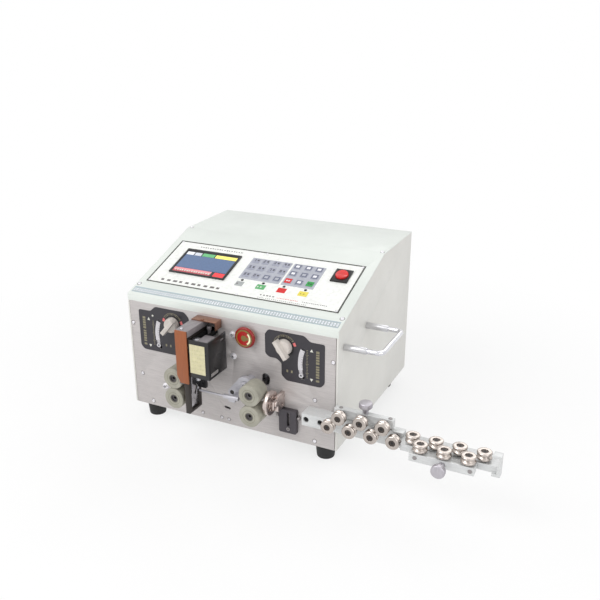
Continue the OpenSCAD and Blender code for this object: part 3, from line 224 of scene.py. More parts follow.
# one material for each slot of the record, and more for single pieces
finish = {
    "paint": paintedSheet("casePaint", (0.885, 0.905, 0.885)),
    "plate_steel": brushedMetal("plateSteel", (0.775, 0.755, 0.75), 0.45, metallic=0.35),
    "foot_rubber": moulded("footRubber", (0.11, 0.11, 0.115), 0.62),
    # zinc screws in a whitened, less metallic colour: the zinc's own colour with a painted glint, so the
    # heads show bright
    "screw_zinc": platedMetal("screwZinc", (0.96, 0.955, 0.97), 0.25, 0.4),
    "handle_chrome": platedMetal("handleChrome", (0.88, 0.88, 0.90), 0.09),
    "panel_film": printed("panelFilm", (0.965, 0.97, 0.955), 0.34),
    "display_plastic": moulded("displayFrame", (0.05, 0.05, 0.06), 0.4, coat=0.1),
    "key_film": printed("keyFilm", (0.63, 0.64, 0.70), 0.4),
    "switch_black": moulded("switchBlack", (0.055, 0.055, 0.06), 0.42),
    "switch_red": moulded("switchRed", (0.84, 0.09, 0.07), 0.2, depth=0.05, coat=0.5),
    "control_dark": printed("controlDark", (0.19, 0.18, 0.205), 0.45),
    "collar_yellow": moulded("collarYellow", (0.88, 0.70, 0.16), 0.4),
    "stop_red": moulded("stopRed", (0.54, 0.06, 0.04), 0.36, depth=0.06, coat=0.1),
    "motor_black": moulded("motorBlack", (0.10, 0.10, 0.11), 0.45),
    "supply_metal": brushedMetal("supplyMetal", (0.70, 0.71, 0.72), 0.4),
    "board_green": moulded("boardGreen", (0.08, 0.34, 0.18), 0.35),
    "fitting_black": moulded("fittingBlack", (0.06, 0.06, 0.06), 0.45),
    "column_grey": paintedSheet("columnGrey", (0.37, 0.37, 0.385), 0.38),
    "strip_brown": brushedMetal("stripBrown", (0.615, 0.36, 0.225), 0.42, (60, 60, 1), metallic=0.25),
    "cover_black": moulded("coverBlack", (0.062, 0.064, 0.07), 0.32, coat=0.2),
    "guard_copper": brushedMetal("guardCopper", (0.60, 0.44, 0.37), 0.34, (1, 50, 50), metallic=0.8),
    "frame_black": brushedMetal("frameBlack", (0.235, 0.215, 0.205), 0.42, (60, 60, 1), metallic=0.4),
    "belt_rubber": moulded("beltRubber", (0.06, 0.06, 0.06), 0.6),
    "screw_steel": brushedMetal("screwSteel", (0.74, 0.74, 0.76), 0.3),
    "knife_steel": brushedMetal("knifeBlack", (0.13, 0.13, 0.135), 0.36, metallic=0.5),
    "knob_ivory": moulded("knobIvory", (0.83, 0.80, 0.775), 0.42, depth=0.12, wear=1.03),
    "carriage_steel": brushedMetal("carriageSteel", (0.55, 0.55, 0.57), 0.4),
    "tyre_olive": moulded("tyreOlive", (0.64, 0.63, 0.58), 0.55, grain=700.0, wear=1.06),
    "arm_silver": brushedMetal("armSilver", (0.76, 0.755, 0.78), 0.42, (1, 40, 40), metallic=0.45),
    "turret_nickel": platedMetal("turretNickel", (0.84, 0.79, 0.77), 0.24),
    "block_black": brushedMetal("blockBlack", (0.31, 0.295, 0.315), 0.42, metallic=0.4),
    "rail_aluminium": brushedMetal("railAluminium", (0.85, 0.855, 0.855), 0.4, (1, 70, 70), metallic=0.3,
                                   depth=0.08),
    "roller_nickel": platedMetal("rollerNickel", (0.76, 0.725, 0.70), 0.22),
    "head_silver": brushedMetal("headSilver", (0.75, 0.735, 0.76), 0.33, (40, 40, 1), metallic=0.75),
    # more for single pieces
    "steelBright": platedMetal("steelBright", (0.83, 0.83, 0.85), 0.2),
    "steelDark": brushedMetal("steelDark", (0.30, 0.29, 0.285), 0.4),
    "axleSteel": brushedMetal("axleSteel", (0.30, 0.27, 0.255), 0.36, metallic=0.6),
    "rodSteel": brushedMetal("rodSteel", (0.60, 0.58, 0.58), 0.36, metallic=0.5),
    # near black: the own colour of the black screws, and painted shade in the sockets of lighter screws and
    # axles
    "socketDark": moulded("socketDark", (0.09, 0.085, 0.085), 0.5),
    "hubGrey": brushedMetal("hubGrey", (0.42, 0.41, 0.41), 0.4),
    "sleeveWhite": platedMetal("sleeveWhite", (0.84, 0.84, 0.85), 0.26),
    "holderBrown": brushedMetal("holderBrown", (0.42, 0.36, 0.32), 0.42, metallic=0.5),
    "stripIvory": moulded("stripIvory", (0.84, 0.83, 0.845), 0.4, depth=0.08, wear=1.02),
    "stopGold": printed("stopGold", (0.50, 0.44, 0.22), 0.3, 0.2),
    "stopBright": printed("stopBright", (0.66, 0.05, 0.025), 0.3, 0.1),
    # cream for the painted highlight on the stop button's dish
    "stopShine": printed("stopShine", (1.0, 0.96, 0.80), 0.25, 0.4),
    # the case paint in a greyer, warmer copy for the side panels: painted shade on the sides
    "sidePaint": paintedSheet("sidePaint", (0.865, 0.86, 0.84)),
    "screwShade": printed("screwShade", (0.50, 0.48, 0.48), 0.6),
    "labelLine": printed("labelLine", (0.80, 0.78, 0.60), 0.5),
    "tyreShade": moulded("tyreShade", (0.50, 0.49, 0.43), 0.6, grain=700.0),
    # lighter grey for the column's top face: painted light on the top
    "capPaint": paintedSheet("capPaint", (0.54, 0.515, 0.525), 0.4),
    "bearingGrey": brushedMetal("bearingGrey", (0.52, 0.50, 0.51), 0.45, metallic=0.3),
    "labelCream": printed("labelCream", (0.83, 0.805, 0.655), 0.45),
    "lampDark": moulded("lampDark", (0.07, 0.06, 0.06), 0.12, depth=0.02, coat=0.6),
}
# inks and lit colours that need no more than their colour
inkColors = {
    "inkBorder": (0.26, 0.265, 0.25), "inkPale": (0.86, 0.86, 0.82), "inkGold": (0.53, 0.505, 0.41),
    # the dark ink serves as print and also as painted shadow round each pressure knob
    "inkRed": (0.84, 0.08, 0.08), "inkDark": (0.10, 0.10, 0.11), "inkGreen": (0.16, 0.62, 0.28),
    "inkYellow": (0.92, 0.86, 0.36), "inkSage": (0.66, 0.675, 0.675), "labelGreen": (0.36, 0.68, 0.43),
    "labelOchre": (0.74, 0.66, 0.26), "inkBlue": (0.66, 0.73, 0.77), "inkRuler": (0.69, 0.735, 0.745),
    "inkLilac": (0.70, 0.71, 0.75), "inkSlate": (0.40, 0.42, 0.50), "inkGrey": (0.42, 0.40, 0.40),
    "inkCharcoal": (0.27, 0.27, 0.30), "inkWhite": (0.95, 0.95, 0.97), "inkPink": (0.86, 0.44, 0.44),
}
screenColors = {
    "screenBlue": (0.265, 0.365, 0.515), "screenGrey": (0.76, 0.78, 0.82),
    "screenWhite": (0.88, 0.89, 0.92), "screenGreen": (0.33, 0.66, 0.42), "screenYellow": (0.96, 0.90, 0.42),
    "screenRed": (0.66, 0.22, 0.26), "screenBright": (0.90, 0.13, 0.17), "screenPink": (0.85, 0.52, 0.55),
}
finish.update({name: printed(name, color) for name, color in inkColors.items()})
finish.update({name: litScreen(name, color) for name, color in screenColors.items()})
print("materials:", len(finish))


# how edges are found and rounded: angles in degrees, the join distance in metres
edgeLook = {"smooth": 35, "sharp": 30, "flat": 0.6, "corner": 20, "steps": 2, "cornerSteps": 4, "join": 1e-6}


# a finished piece: its mesh, materials by name and the body it rides on
def makePiece(name, bm, materials, body="root"):
    mesh = bpy.data.meshes.new(name)
    bmesh.ops.recalc_face_normals(bm, faces=bm.faces)
    bm.to_mesh(mesh)
    bm.free()
    for material in materials:
        mesh.materials.append(finish[material])
    for face in mesh.polygons:
        face.use_smooth = True
    mesh.set_sharp_from_angle(angle=math.radians(edgeLook["smooth"]))
    piece = bpy.data.objects.new(name, mesh)
    scene.collection.objects.link(piece)
    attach(piece, body)
    return piece


def sharpEdges(bm, angle):
    limit = math.radians(angle)
    return [e for e in bm.edges if len(e.link_faces) == 2 and e.calc_face_angle(0) > limit]


def roundEdges(bm, edges, width, segments):
    bmesh.ops.bevel(bm, geom=edges, offset=width, offset_type="OFFSET", segments=segments, profile=0.5,
                    affect="EDGES", clamp_overlap=True, material=-1)


# a node's mesh with its split corners joined
def joinedMesh(node):
    bm = bmesh.new()
    bm.from_mesh(nodes[node].data)
    bmesh.ops.remove_doubles(bm, verts=bm.verts, dist=edgeLook["join"])
    return bm


# all faces that hang together with one
def solidOf(face):
    group, queue = {face}, [face]
    while queue:
        for edge in queue.pop().edges:
            for other in edge.link_faces:
                if other not in group:
                    group.add(other)
                    queue.append(other)
    return group


def solidsOf(bm):
    left = set(bm.faces)
    groups = []
    while left:
        groups.append(solidOf(next(iter(left))))
        left -= groups[-1]
    return groups


# the low and the high corner of a group of faces
def boxOf(group):
    spots = [v.co for face in group for v in face.verts]
    return [Vector([end(spot[i] for spot in spots) for i in range(3)]) for end in (min, max)]


# a dressed copy of a CAD node: flats joined, edges rounded by a width in millimetres, each solid with
# the material that pick names, single faces with the one that paint names
def dressNode(node, pieceName, materials, width, pick=None, paint=None, corner=None):
    bm = joinedMesh(node)
    flat = math.radians(edgeLook["flat"])
    bmesh.ops.dissolve_limit(bm, angle_limit=flat, verts=bm.verts, edges=bm.edges)
    for group in solidsOf(bm):
        low, high = boxOf(group)
        index = pick((low + high) / 2, high - low) if pick else 0
        for face in group:
            face.material_index = index
    for face in bm.faces:
        face.smooth = True
        if paint:
            face.material_index = paint(face.calc_center_median(), face.normal, face.material_index)
    if corner:
        chosen = [e for e in sharpEdges(bm, edgeLook["corner"]) if corner[1](e)]
        roundEdges(bm, chosen, corner[0] / 1000, edgeLook["cornerSteps"])
    if width:
        roundEdges(bm, sharpEdges(bm, edgeLook["sharp"]), width / 1000, edgeLook["steps"])
    piece = makePiece(pieceName, bm, materials, bodyOf[node])
    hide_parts(node)


# nodes in one material, with the width of their rounded edges
simpleDress = {
    "base_tray": ("baseTrayShell", 0.3), "front_plate": ("frontPlateSheet", 0.35),
    "top_cover": ("topCoverSheet", 0.6), "rear_panel": ("rearPanelSheet", 0.4),
    "rubber_feet": ("footBlocks", 1.0), "panel_sheet": ("panelSheetFilm", 0.15),
    "display_unit": ("displayFrameBox", 0.5), "switch_frame": ("switchFrameBox", 0.6),
    "power_rocker": ("rockerCap", 0.4), "stop_collar": ("stopCollarRing", 0.4),
    "stop_button": ("stopButtonCap", 0.8), "drive_motors": ("driveMotorSet", 0.6),
    "power_supply": ("powerSupplyBox", 0.5), "control_board": ("controlBoardSet", 0.2),
    "rear_fittings": ("rearFittingSet", 0.5), "front_strip": ("frontStripPlate", 0.3),
    "safety_cover": ("safetyCoverShell", 0.5), "belt_guard": ("beltGuardSheet", 0.5),
    "knife_frame": ("knifeFramePlate", 0.5), "drive_belt": ("driveBeltLoop", 0.3),
    "lead_screw": ("leadScrewBar", 0.3), "guide_arm": ("guideArmPlate", 0.5),
    "turret_disc": ("turretDiscPlate", 0.6), "left_carriage": ("leftCarriagePlate", 0.4),
    "right_carriage": ("rightCarriagePlate", 0.4),
}
for node, (pieceName, width) in simpleDress.items():
    dressNode(node, pieceName, [slotOf[node]], width)
# side panels in the greyer copy of the case paint, as painted shade
dressNode("side_panels", "sidePanelSheets", ["sidePaint"], 0.5)
print("simple pieces dressed")

# sizes and places in metres that tell the solids of one node apart
tellApart = {"armSide": 0.06, "mountScrew": (0.145, 0.02, 0.008), "handleRod": 0.05, "handleSleeve": 0.02,
             "tyre": 0.03, "blade": 0.004, "columnScrew": 0.012, "columnSide": -0.033, "block": 0.02,
             "rail": 0.0095, "rod": 0.0065}

# turret bracket, and the arm's boss and bolt in the arm's metal
dressNode("turret_bracket", "turretBracketSet", ["turret_nickel", "arm_silver"], 0.5,
          pick=lambda centre, size: 1 if centre.x < tellApart["armSide"] else 0)


# screws: zinc, with the two in the mount block dark
def isMountScrew(centre, size):
    beyond, long, wide = tellApart["mountScrew"]
    return 1 if centre.x > beyond and size.y > long and size.x > wide else 0


dressNode("case_screws", "caseScrewSet", ["screw_zinc", "socketDark"], 0.18,
          pick=isMountScrew)

# control plates: their corners rounded in outline
plateCornerLook = {"width": 3.2, "turn": 35, "thick": 0.001, "straight": 0.99}


def plateCorner(edge):
    look = plateCornerLook
    along = abs((edge.verts[0].co - edge.verts[1].co).normalized().y)
    turned = edge.calc_face_angle(0) > math.radians(look["turn"])
    return along > look["straight"] and edge.calc_length() < look["thick"] and turned


dressNode("control_plates", "controlPlateSheets", ["control_dark"], 0,
          corner=(plateCornerLook["width"], plateCorner))


# handles: chrome rods, bright sleeves, dark nuts
def handlePart(centre, size):
    if size.y > tellApart["handleRod"]:
        return 0
    return 1 if size.x > tellApart["handleSleeve"] else 2


dressNode("carry_handles", "carryHandleSet", ["handle_chrome", "sleeveWhite", "steelDark"], 0.4,
          pick=handlePart)

# feed rollers: a tyre on a hub with a socket
for node in [n for n in nodes if n.endswith("feed_roller")]:
    dressNode(node, node.replace("_", "") + "Set", ["tyre_olive", "hubGrey"], 0.4,
              pick=lambda centre, size: 0 if size.x > tellApart["tyre"] else 1)

# knives: dark holders with ground blades
for node, pieceName, holder in (("upper_knife", "upperKnifeSet", "knife_steel"),
                                ("lower_knife", "lowerKnifeSet", "holderBrown")):
    dressNode(node, pieceName, [holder, "steelBright"], 0.3,
              pick=lambda centre, size: 0 if size.x > tellApart["blade"] else 1)


# cutter column: grey, its top face in a lighter paint that is painted light falling on the top, bright screws
# and the bearing block beside it
def columnPart(centre, size):
    if max(size.x, size.y) < tellApart["columnScrew"]:
        return 1
    return 0 if centre.x < tellApart["columnSide"] else 3


paintedLightFoot = front(0, 0, 184).z
dressNode("cutter_column", "cutterColumnSet", ["column_grey", "steelBright", "capPaint", "bearingGrey"], 0.4,
          pick=columnPart, paint=lambda spot, normal, index: 2 if index == 0 and spot.z > paintedLightFoot else index)
dressNode("slotted_block", "slottedBlockSet", ["block_black", "rodSteel"], 0.4,
          pick=lambda centre, size: 0 if size.z > tellApart["block"] else 1)
for side in ("left", "right"):
    dressNode(side + "_pressure_knob", side + "KnobShape", ["knob_ivory"], 0.7)


# straightener: rails, their axles and the thin rods
def railPart(centre, size):
    thin = min(size)
    return 0 if thin > tellApart["rail"] else 2 if thin < tellApart["rod"] else 1


for node, pieceName in (("straightener_rails", "straightenerRailSet"), ("upper_slide_block", "upperSlideSet"),
                        ("front_slide_block", "frontSlideSet")):
    dressNode(node, pieceName, ["rail_aluminium", "axleSteel", "rodSteel"], 0.4, pick=railPart)
for node in ("upper_press_screw", "front_press_screw"):
    dressNode(node, node.replace("_", "") + "Knob", ["head_silver"], 0.5)
for node in [n for n in nodes if n[:-2].endswith("_roller")]:
    dressNode(node, node.replace("_roller_", "GrooveRoller"), ["roller_nickel"], 0.35)
dressNode("panel_keys", "panelKeyPads", ["key_film"], 0.3)
print("mechanism dressed")


# printed shapes stand on a placed frame, in millimetres, and are raised from base to top
def raiseFace(bm, place, foot, height, material):
    foot.material_index = material
    raised = bmesh.ops.extrude_face_region(bm, geom=[foot])["geom"]
    lift = place.to_3x3() @ Vector((0, 0, height / 1000))
    bmesh.ops.translate(bm, vec=lift, verts=[v for v in raised if isinstance(v, bmesh.types.BMVert)])


def raiseOutline(bm, place, points, base, top, material=0):
    corners = [bm.verts.new(place @ Vector((x / 1000, y / 1000, base / 1000))) for x, y in points]
    foot = bm.faces.new(corners)
    raiseFace(bm, place, foot, top - base, material)
    return foot


# a disc, or with few sides a nut's shape with one corner to the right
def raiseDisc(bm, place, x, y, radius, base, top, material=0, sides=24):
    spot = place @ Matrix.Translation((x / 1000, y / 1000, base / 1000))
    rim = bmesh.ops.create_circle(bm, cap_ends=True, segments=sides, radius=radius / 1000,
                                  matrix=spot @ Matrix.Rotation(-math.pi / 2, 4, "Z"))["verts"]
    raiseFace(bm, place, rim[0].link_faces[0], top - base, material)


# a ring or part of one, spun from its section: radii inner and outer, angles in degrees
def raiseBand(bm, place, centre, radii, angles, base, top, material=0, steps=24):
    turn = math.radians(angles[1] - angles[0])
    closed = angles[1] - angles[0] >= 360
    middle = place @ Matrix.Translation((centre[0] / 1000, centre[1] / 1000, 0))
    start = middle @ Matrix.Rotation(math.radians(angles[0]), 4, "Z")
    inner, outer = radii
    section = [bm.verts.new(start @ Vector((radius / 1000, 0, height / 1000)))
               for radius, height in ((inner, base), (inner, top), (outer, top), (outer, base))]
    end = bm.faces.new(section)
    profile = section + list(end.edges)
    if closed:
        bmesh.ops.delete(bm, geom=[end], context="FACES_ONLY")
    else:
        profile.append(end)
    bmesh.ops.spin(bm, geom=profile, cent=middle.translation, axis=middle.to_3x3() @ Vector((0, 0, 1)),
                   angle=turn, steps=steps, use_merge=closed)
    for face in solidOf(section[0].link_faces[0]):
        face.material_index = material


# a raised rectangle from its left, right, lower and upper edge, with round corners where a radius is given
def raiseBox(bm, place, box, base, top, material=0, corner=0.0):
    x0, x1, y0, y1 = box
    foot = raiseOutline(bm, place, [(x0, y0), (x1, y0), (x1, y1), (x0, y1)], base, top, material)
    if corner:
        uprights = [e for v in foot.verts for e in v.link_edges if e not in foot.edges[:]]
        roundEdges(bm, uprights, corner / 1000, edgeLook["cornerSteps"])


# plain digits drawn as seven bars; width, stroke and gap as shares of the height
digitLook = {"wide": 0.5, "thick": 0.16, "gap": 0.24}
barsOf = {"0": "abcdef", "1": "bc", "2": "abged", "3": "abgcd", "4": "fgbc", "5": "afgcd", "6": "afgedc",
          "7": "abc", "8": "abcdefg", "9": "abcdfg"}


def drawNumber(bm, place, text, x, y, height, base, top, material=0):
    wide, thick, gap = (height * digitLook[k] for k in ("wide", "thick", "gap"))
    middle = height / 2
    bars = {"a": (0, wide, height - thick, height), "d": (0, wide, 0, thick),
            "g": (0, wide, middle - thick / 2, middle + thick / 2), "f": (0, thick, middle, height),
            "e": (0, thick, 0, middle), "b": (wide - thick, wide, middle, height),
            "c": (wide - thick, wide, 0, middle)}
    left = x - (len(text) * wide + (len(text) - 1) * gap) / 2
    for digit in text:
        for bar in barsOf[digit]:
            x0, x1, y0, y1 = bars[bar]
            box = left + x0, left + x1, y - middle + y0, y - middle + y1
            raiseBox(bm, place, box, base, top, material)
        left += wide + gap


# printed work on the slope: border line, key pads, lamps' labels and plain rows of dashes. A label has
# its left and right edge and its ink, a row left, right, foot, height, pitch and ink
slope = slopeFrame(0, 0)
filmTop = 0.5
panelInk = {"left": -186, "right": 183, "low": 40, "high": 168, "line": 2.9, "thick": 0.08, "rise": 0.02,
            "pads": ((-22.5, 55.5), (59, 119)), "padRows": (86.5, 147.5),
            "labels": ((-20, -5, 1), (20, 37, 2), (60, 76, 3), (99, 116, 4)), "labelRows": (66, 78.5),
            "corners": (1.5, 1.0), "dashShares": (0.45, 0.55, 0.65),
            "rows": ((-160, -32, 48.5, 4.8, 12.6, 6), (-138, -45, 155, 2.1, 5.0, 6),
                     (37, 66, 52, 2.6, 5.8, 6), (69, 110, 51.5, 1.3, 3.0, 3), (115, 162, 51.5, 1.5, 3.2, 6),
                     (36, 128, 45.5, 1.1, 3.6, 6), (-18, -8, 70.5, 3.6, 5.4, 6),
                     (22, 34, 70.5, 3.2, 5.6, 7), (102, 114, 70.5, 3.2, 5.4, 8))}


def printPanel():
    ink, top = panelInk, filmTop + panelInk["thick"]
    bm = bmesh.new()
    x0, x1, y0, y1, w = ink["left"], ink["right"], ink["low"], ink["high"], ink["line"]
    for box in ((x0, x1, y0, y0 + w), (x0, x1, y1 - w, y1), (x0, x0 + w, y0 + w, y1 - w),
                (x1 - w, x1, y0 + w, y1 - w)):
        raiseBox(bm, slope, box, filmTop, top)
    for left, right in ink["pads"]:
        raiseBox(bm, slope, (left, right, *ink["padRows"]), filmTop, top, 5, ink["corners"][0])
    for left, right, color in ink["labels"]:
        raiseBox(bm, slope, (left, right, *ink["labelRows"]), filmTop, top, color, ink["corners"][1])
    for left, right, row, high, pitch, color in ink["rows"]:
        count = int((right - left) / pitch)
        for i in range(count):
            x = left + i * pitch
            wide = pitch * ink["dashShares"][i % 3]
            raiseBox(bm, slope, (x, x + wide, row, row + high), filmTop, top + ink["rise"], color)
    inks = ["inkBorder", "inkSage", "labelGreen", "inkRed", "inkYellow", "inkLilac", "inkGrey",
                  "inkPale", "labelOchre"]
    makePiece("panelPrint", bm, inks)


printPanel()

# ruler strip along the fold: a white cell with a plain digit every five millimetres
rulerLook = {"left": -196, "right": 196, "low": 7.0, "high": 21.5, "edge": (0.9, 1.6), "pitch": 5.0,
             "cells": 78, "cell": (1.35, 3.6), "digit": 3.4, "row": 13.9,
             "levels": (0.02, 0.12, 0.15, 0.16, 0.17)}


def ruler():
    look = rulerLook
    bm = bmesh.new()
    left, right, low, high = (look[k] for k in ("left", "right", "low", "high"))
    foot, face, cellTop, edgeTop, digitTop = look["levels"]
    raiseBox(bm, slope, (left, right, low, high), foot, face)
    raiseBox(bm, slope, (left, right, low, low + look["edge"][0]), face, edgeTop, 1)
    raiseBox(bm, slope, (left, right, high - look["edge"][1], high), face, edgeTop, 1)
    half, tall = look["cell"]
    for i in range(look["cells"]):
        x = (i - (look["cells"] - 1) / 2) * look["pitch"]
        cell = x - half, x + half, look["row"] - tall, look["row"] + tall
        raiseBox(bm, slope, cell, face, cellTop, 2)
        digit = ("%02d" % (i // 2 + 1))[i % 2]
        drawNumber(bm, slope, digit, x, look["row"], look["digit"], cellTop, digitTop, 1)
    makePiece("rulerStrip", bm, ["inkRuler", "inkBlue", "inkWhite"])


ruler()

# display: the lit screen in its frame
screenParts = ((-153, -49, 89.5, 127.5, "screenBlue"), (-153, -138, 128, 136.5, "screenWhite"),
               (-136, -122, 128, 136.5, "screenGrey"), (-120, -94.5, 128, 137, "screenGreen"),
               (-92.5, -49, 128, 137, "screenYellow"), (-153, -76, 75.8, 82.3, "screenRed"),
               (-153, -76, 82.3, 88.8, "screenPink"), (-70, -49, 75.8, 88.3, "screenBright"))
screenMarks = {"count": 15, "left": -150, "pitch": 4.9, "rows": (80.3, 84.3), "widths": (2.6, 3.1, 3.6),
               "levels": (2.02, 2.1, 2.13)}


def screenFace():
    marks = screenMarks
    foot, face, markTop = marks["levels"]
    bm = bmesh.new()
    names = sorted({part[4] for part in screenParts})
    for *box, name in screenParts:
        raiseBox(bm, slope, box, foot, face, names.index(name))
    names.append("inkPale")
    for i in range(marks["count"]):
        x = marks["left"] + i * marks["pitch"]
        bar = x, x + marks["widths"][i % 3], *marks["rows"]
        raiseBox(bm, slope, bar, face, markTop, len(names) - 1)
    makePiece("screenFace", bm, names)


screenFace()

# keys: digits on the left group, framed windows on the rest, one red and one green
keyPlaces = {"columns": (-13, 6, 26.5, 46.5, 68, 88.5, 108.5), "rows": (140, 120, 99),
             "levels": (1.2, 1.26, 1.3)}
keyPlan = ("ddddwww", "ddddwgw", "ddggrwn")
# outlines about a key's middle: left, right, foot, top
keyShapes = {"dot": (2.2, 5.4, -1.2, 3.0), "rim": (-5.6, 5.6, -5.4, 5.4), "pane": (-3.3, 3.3, -2.9, 2.9),
             "pad": (-6.2, 6.2, -6.2, 6.2), "firstDash": (-3.4, -0.6, -1.5, 1.5),
             "lastDash": (0.6, 3.4, -1.5, 1.5), "digit": (-2.6, 0.8, 7.0)}


def keyPrint():
    bm = bmesh.new()
    face, inkTop, paneTop = keyPlaces["levels"]

    def stamp(shape, column, row, base, top, ink):
        left, right, foot, head = keyShapes[shape]
        box = column + left, column + right, row + foot, row + head
        raiseBox(bm, slope, box, base, top, ink)

    number = 1
    across, up, tall = keyShapes["digit"]
    for row, plan in zip(keyPlaces["rows"], keyPlan):
        for column, kind in zip(keyPlaces["columns"], plan):
            if kind == "d":
                drawNumber(bm, slope, str(number % 10), column + across, row + up, tall, face, inkTop, 0)
                stamp("dot", column, row, face, inkTop, 0)
                number += 1
            elif kind in "wg":
                stamp("rim", column, row, face, inkTop, 1)
                stamp("pane", column, row, inkTop, paneTop, 2 if kind == "w" else 5)
            else:
                stamp("pad", column, row, face, inkTop, 3 if kind == "r" else 4)
                for dash in ("firstDash", "lastDash"):
                    stamp(dash, column, row, inkTop, paneTop, 2 if kind == "r" else 6)
    inks = ["inkCharcoal", "inkSlate", "inkWhite", "inkRed", "inkGreen", "inkLilac", "inkDark"]
    makePiece("keyPrint", bm, inks)


keyPrint()

# small dark lamps over their labels
lampLook = {"columns": (-12, 29, 68, 107.7), "row": 82.5, "radius": 1.9, "rim": 2.6, "rise": 0.5}


def panelLamps():
    look = lampLook
    bm = bmesh.new()
    for u in look["columns"]:
        place = slope @ Matrix.Translation((u / 1000, look["row"] / 1000, filmTop / 1000))
        bmesh.ops.create_uvsphere(bm, u_segments=16, v_segments=8, radius=look["radius"] / 1000, matrix=place)
        raiseBand(bm, slope, (u, look["row"]), (look["radius"], look["rim"]), (0, 360), filmTop,
                  filmTop + look["rise"], 1, 20)
    makePiece("panelLamps", bm, ["lampDark", "inkDark"])


panelLamps()

# printed work on the dark plates beside each knob, and a dark ring of painted shadow round each knob
platePrintAndShadow = {
    "right": {"knob": (107.5, 169), "ticks": (36, 168), "red": ((12, 30),), "dots": ((112, 127), (120, 127)),
              "scaleX": 147.2, "triangles": ((155, 171, 1), (155, 119.5, -1)),
              "wordX": 165.6, "words": (118, 176)},
    "left": {"knob": (-107.5, 169), "ticks": (32, 148), "red": ((8, 26), (154, 172)),
             "dots": ((-123.5, 127), (-114.5, 127)), "scaleX": -148.5,
             "triangles": ((-157.5, 171, 1), (-157.5, 120, -1)), "wordX": -167.6, "words": (120, 174)},
}
# shapes of that print and of the painted shadow: rings round the knob in radii, lines and bars in halves and
# heights
printAndShadowLook = {
    "levels": (0.6, 0.68), "rim": (13.7, 16.2), "tick": (17.0, 19.6), "arc": (20.1, 20.7),
    "red": (16.6, 21.2), "tickEvery": 9, "tickHalves": (2.4, 1.1, 1.1), "dot": (1.5, 2.2),
    "triangle": (2.8, 2.4), "lines": 19, "lineFoot": 4, "lineEnds": 10, "lineHalf": 0.45, "shortLine": 1.3,
    "longLine": 2.6, "wordHalf": 2.9, "wordTall": (3.6, 2.8, 4.2, 3.2), "wordEnd": 3, "wordGap": 1.2,
    "wordBreak": 3.0, "rivet": (-148.6, 178.2, 1.7), "rivetRise": 0.3,
}


def printPlateAndShadow(side):
    look, shape = platePrintAndShadow[side], printAndShadowLook
    place = frontFrame(0, 0)
    base, top = shape["levels"]
    bm = bmesh.new()
    # the rim ring, in the dark ink, is painted shadow round the knob
    raiseBand(bm, place, look["knob"], shape["rim"], (0, 360), base, top, 3, 48)
    start, end = look["ticks"]
    count = int((end - start) / shape["tickEvery"])
    for i in range(count):
        angle = start + (end - start) * (i + 0.5) / count
        half = shape["tickHalves"][i % 3]
        raiseBand(bm, place, look["knob"], shape["tick"], (angle - half, angle + half), base, top, 0, 2)
    raiseBand(bm, place, look["knob"], shape["arc"], (start, end), base, top, 0, 32)
    for angles in look["red"]:
        raiseBand(bm, place, look["knob"], shape["red"], angles, base, top, 2, 6)
    wide, tall = shape["dot"]
    for x, z in look["dots"]:
        raiseBox(bm, place, (x - wide, x + wide, z - tall, z + tall), base, top)
    wide, drop = shape["triangle"]
    for x, z, way in look["triangles"]:
        corners = [(x - wide, z - drop * way), (x + wide, z - drop * way), (x, z + wide * way)][::way]
        raiseOutline(bm, place, corners, base, top, 1)
    low, high = look["words"]
    x, half = look["scaleX"], shape["lineHalf"]
    for i in range(shape["lines"]):
        z = low + shape["lineFoot"] + (high - low - shape["lineEnds"]) * i / (shape["lines"] - 1)
        wide = shape["longLine"] if i % 6 == 3 else shape["shortLine"]
        raiseBox(bm, place, (x - wide, x + wide, z - half, z + half), base, top)
    x, half = look["wordX"], shape["wordHalf"]
    z, step = low, 0
    while z < high - shape["wordEnd"]:
        tall = shape["wordTall"][step % 4]
        raiseBox(bm, place, (x - half, x + half, z, z + tall), base, top)
        z += tall + (shape["wordGap"] if step % 5 else shape["wordBreak"])
        step += 1
    if side == "left":
        raiseDisc(bm, place, *shape["rivet"], base, top + shape["rivetRise"], 1)
    makePiece(side + "PlatePrint", bm, ["inkGold", "inkPale", "inkPink", "inkDark"])


# ivory scale strip in the arc slot above the pin; a white cap on the carriage's pin rides with it, and
# so does a tongue that slides behind the strip
arcCentre = {"left": (-71.5, 144), "right": (204.8, 144)}
arcLook = {"radius": 70, "halfWidth": 4.0, "angles": (159.5, 188.8), "depths": (-0.5, 0.45),
           "marks": 7, "markFrom": 2, "markEvery": 3.8, "markWide": 0.4, "markReach": (0.2, 2.4),
           "markTop": 0.5, "pinZ": 124, "pinDrop": 16.56, "cap": 4.0, "eye": 1.3,
           "capLevels": (0.75, 1.45, 1.6), "tongue": (67.6, 73.6), "tongueAngles": (188.2, 195.6),
           "tongueDepths": (-1.4, -0.6)}


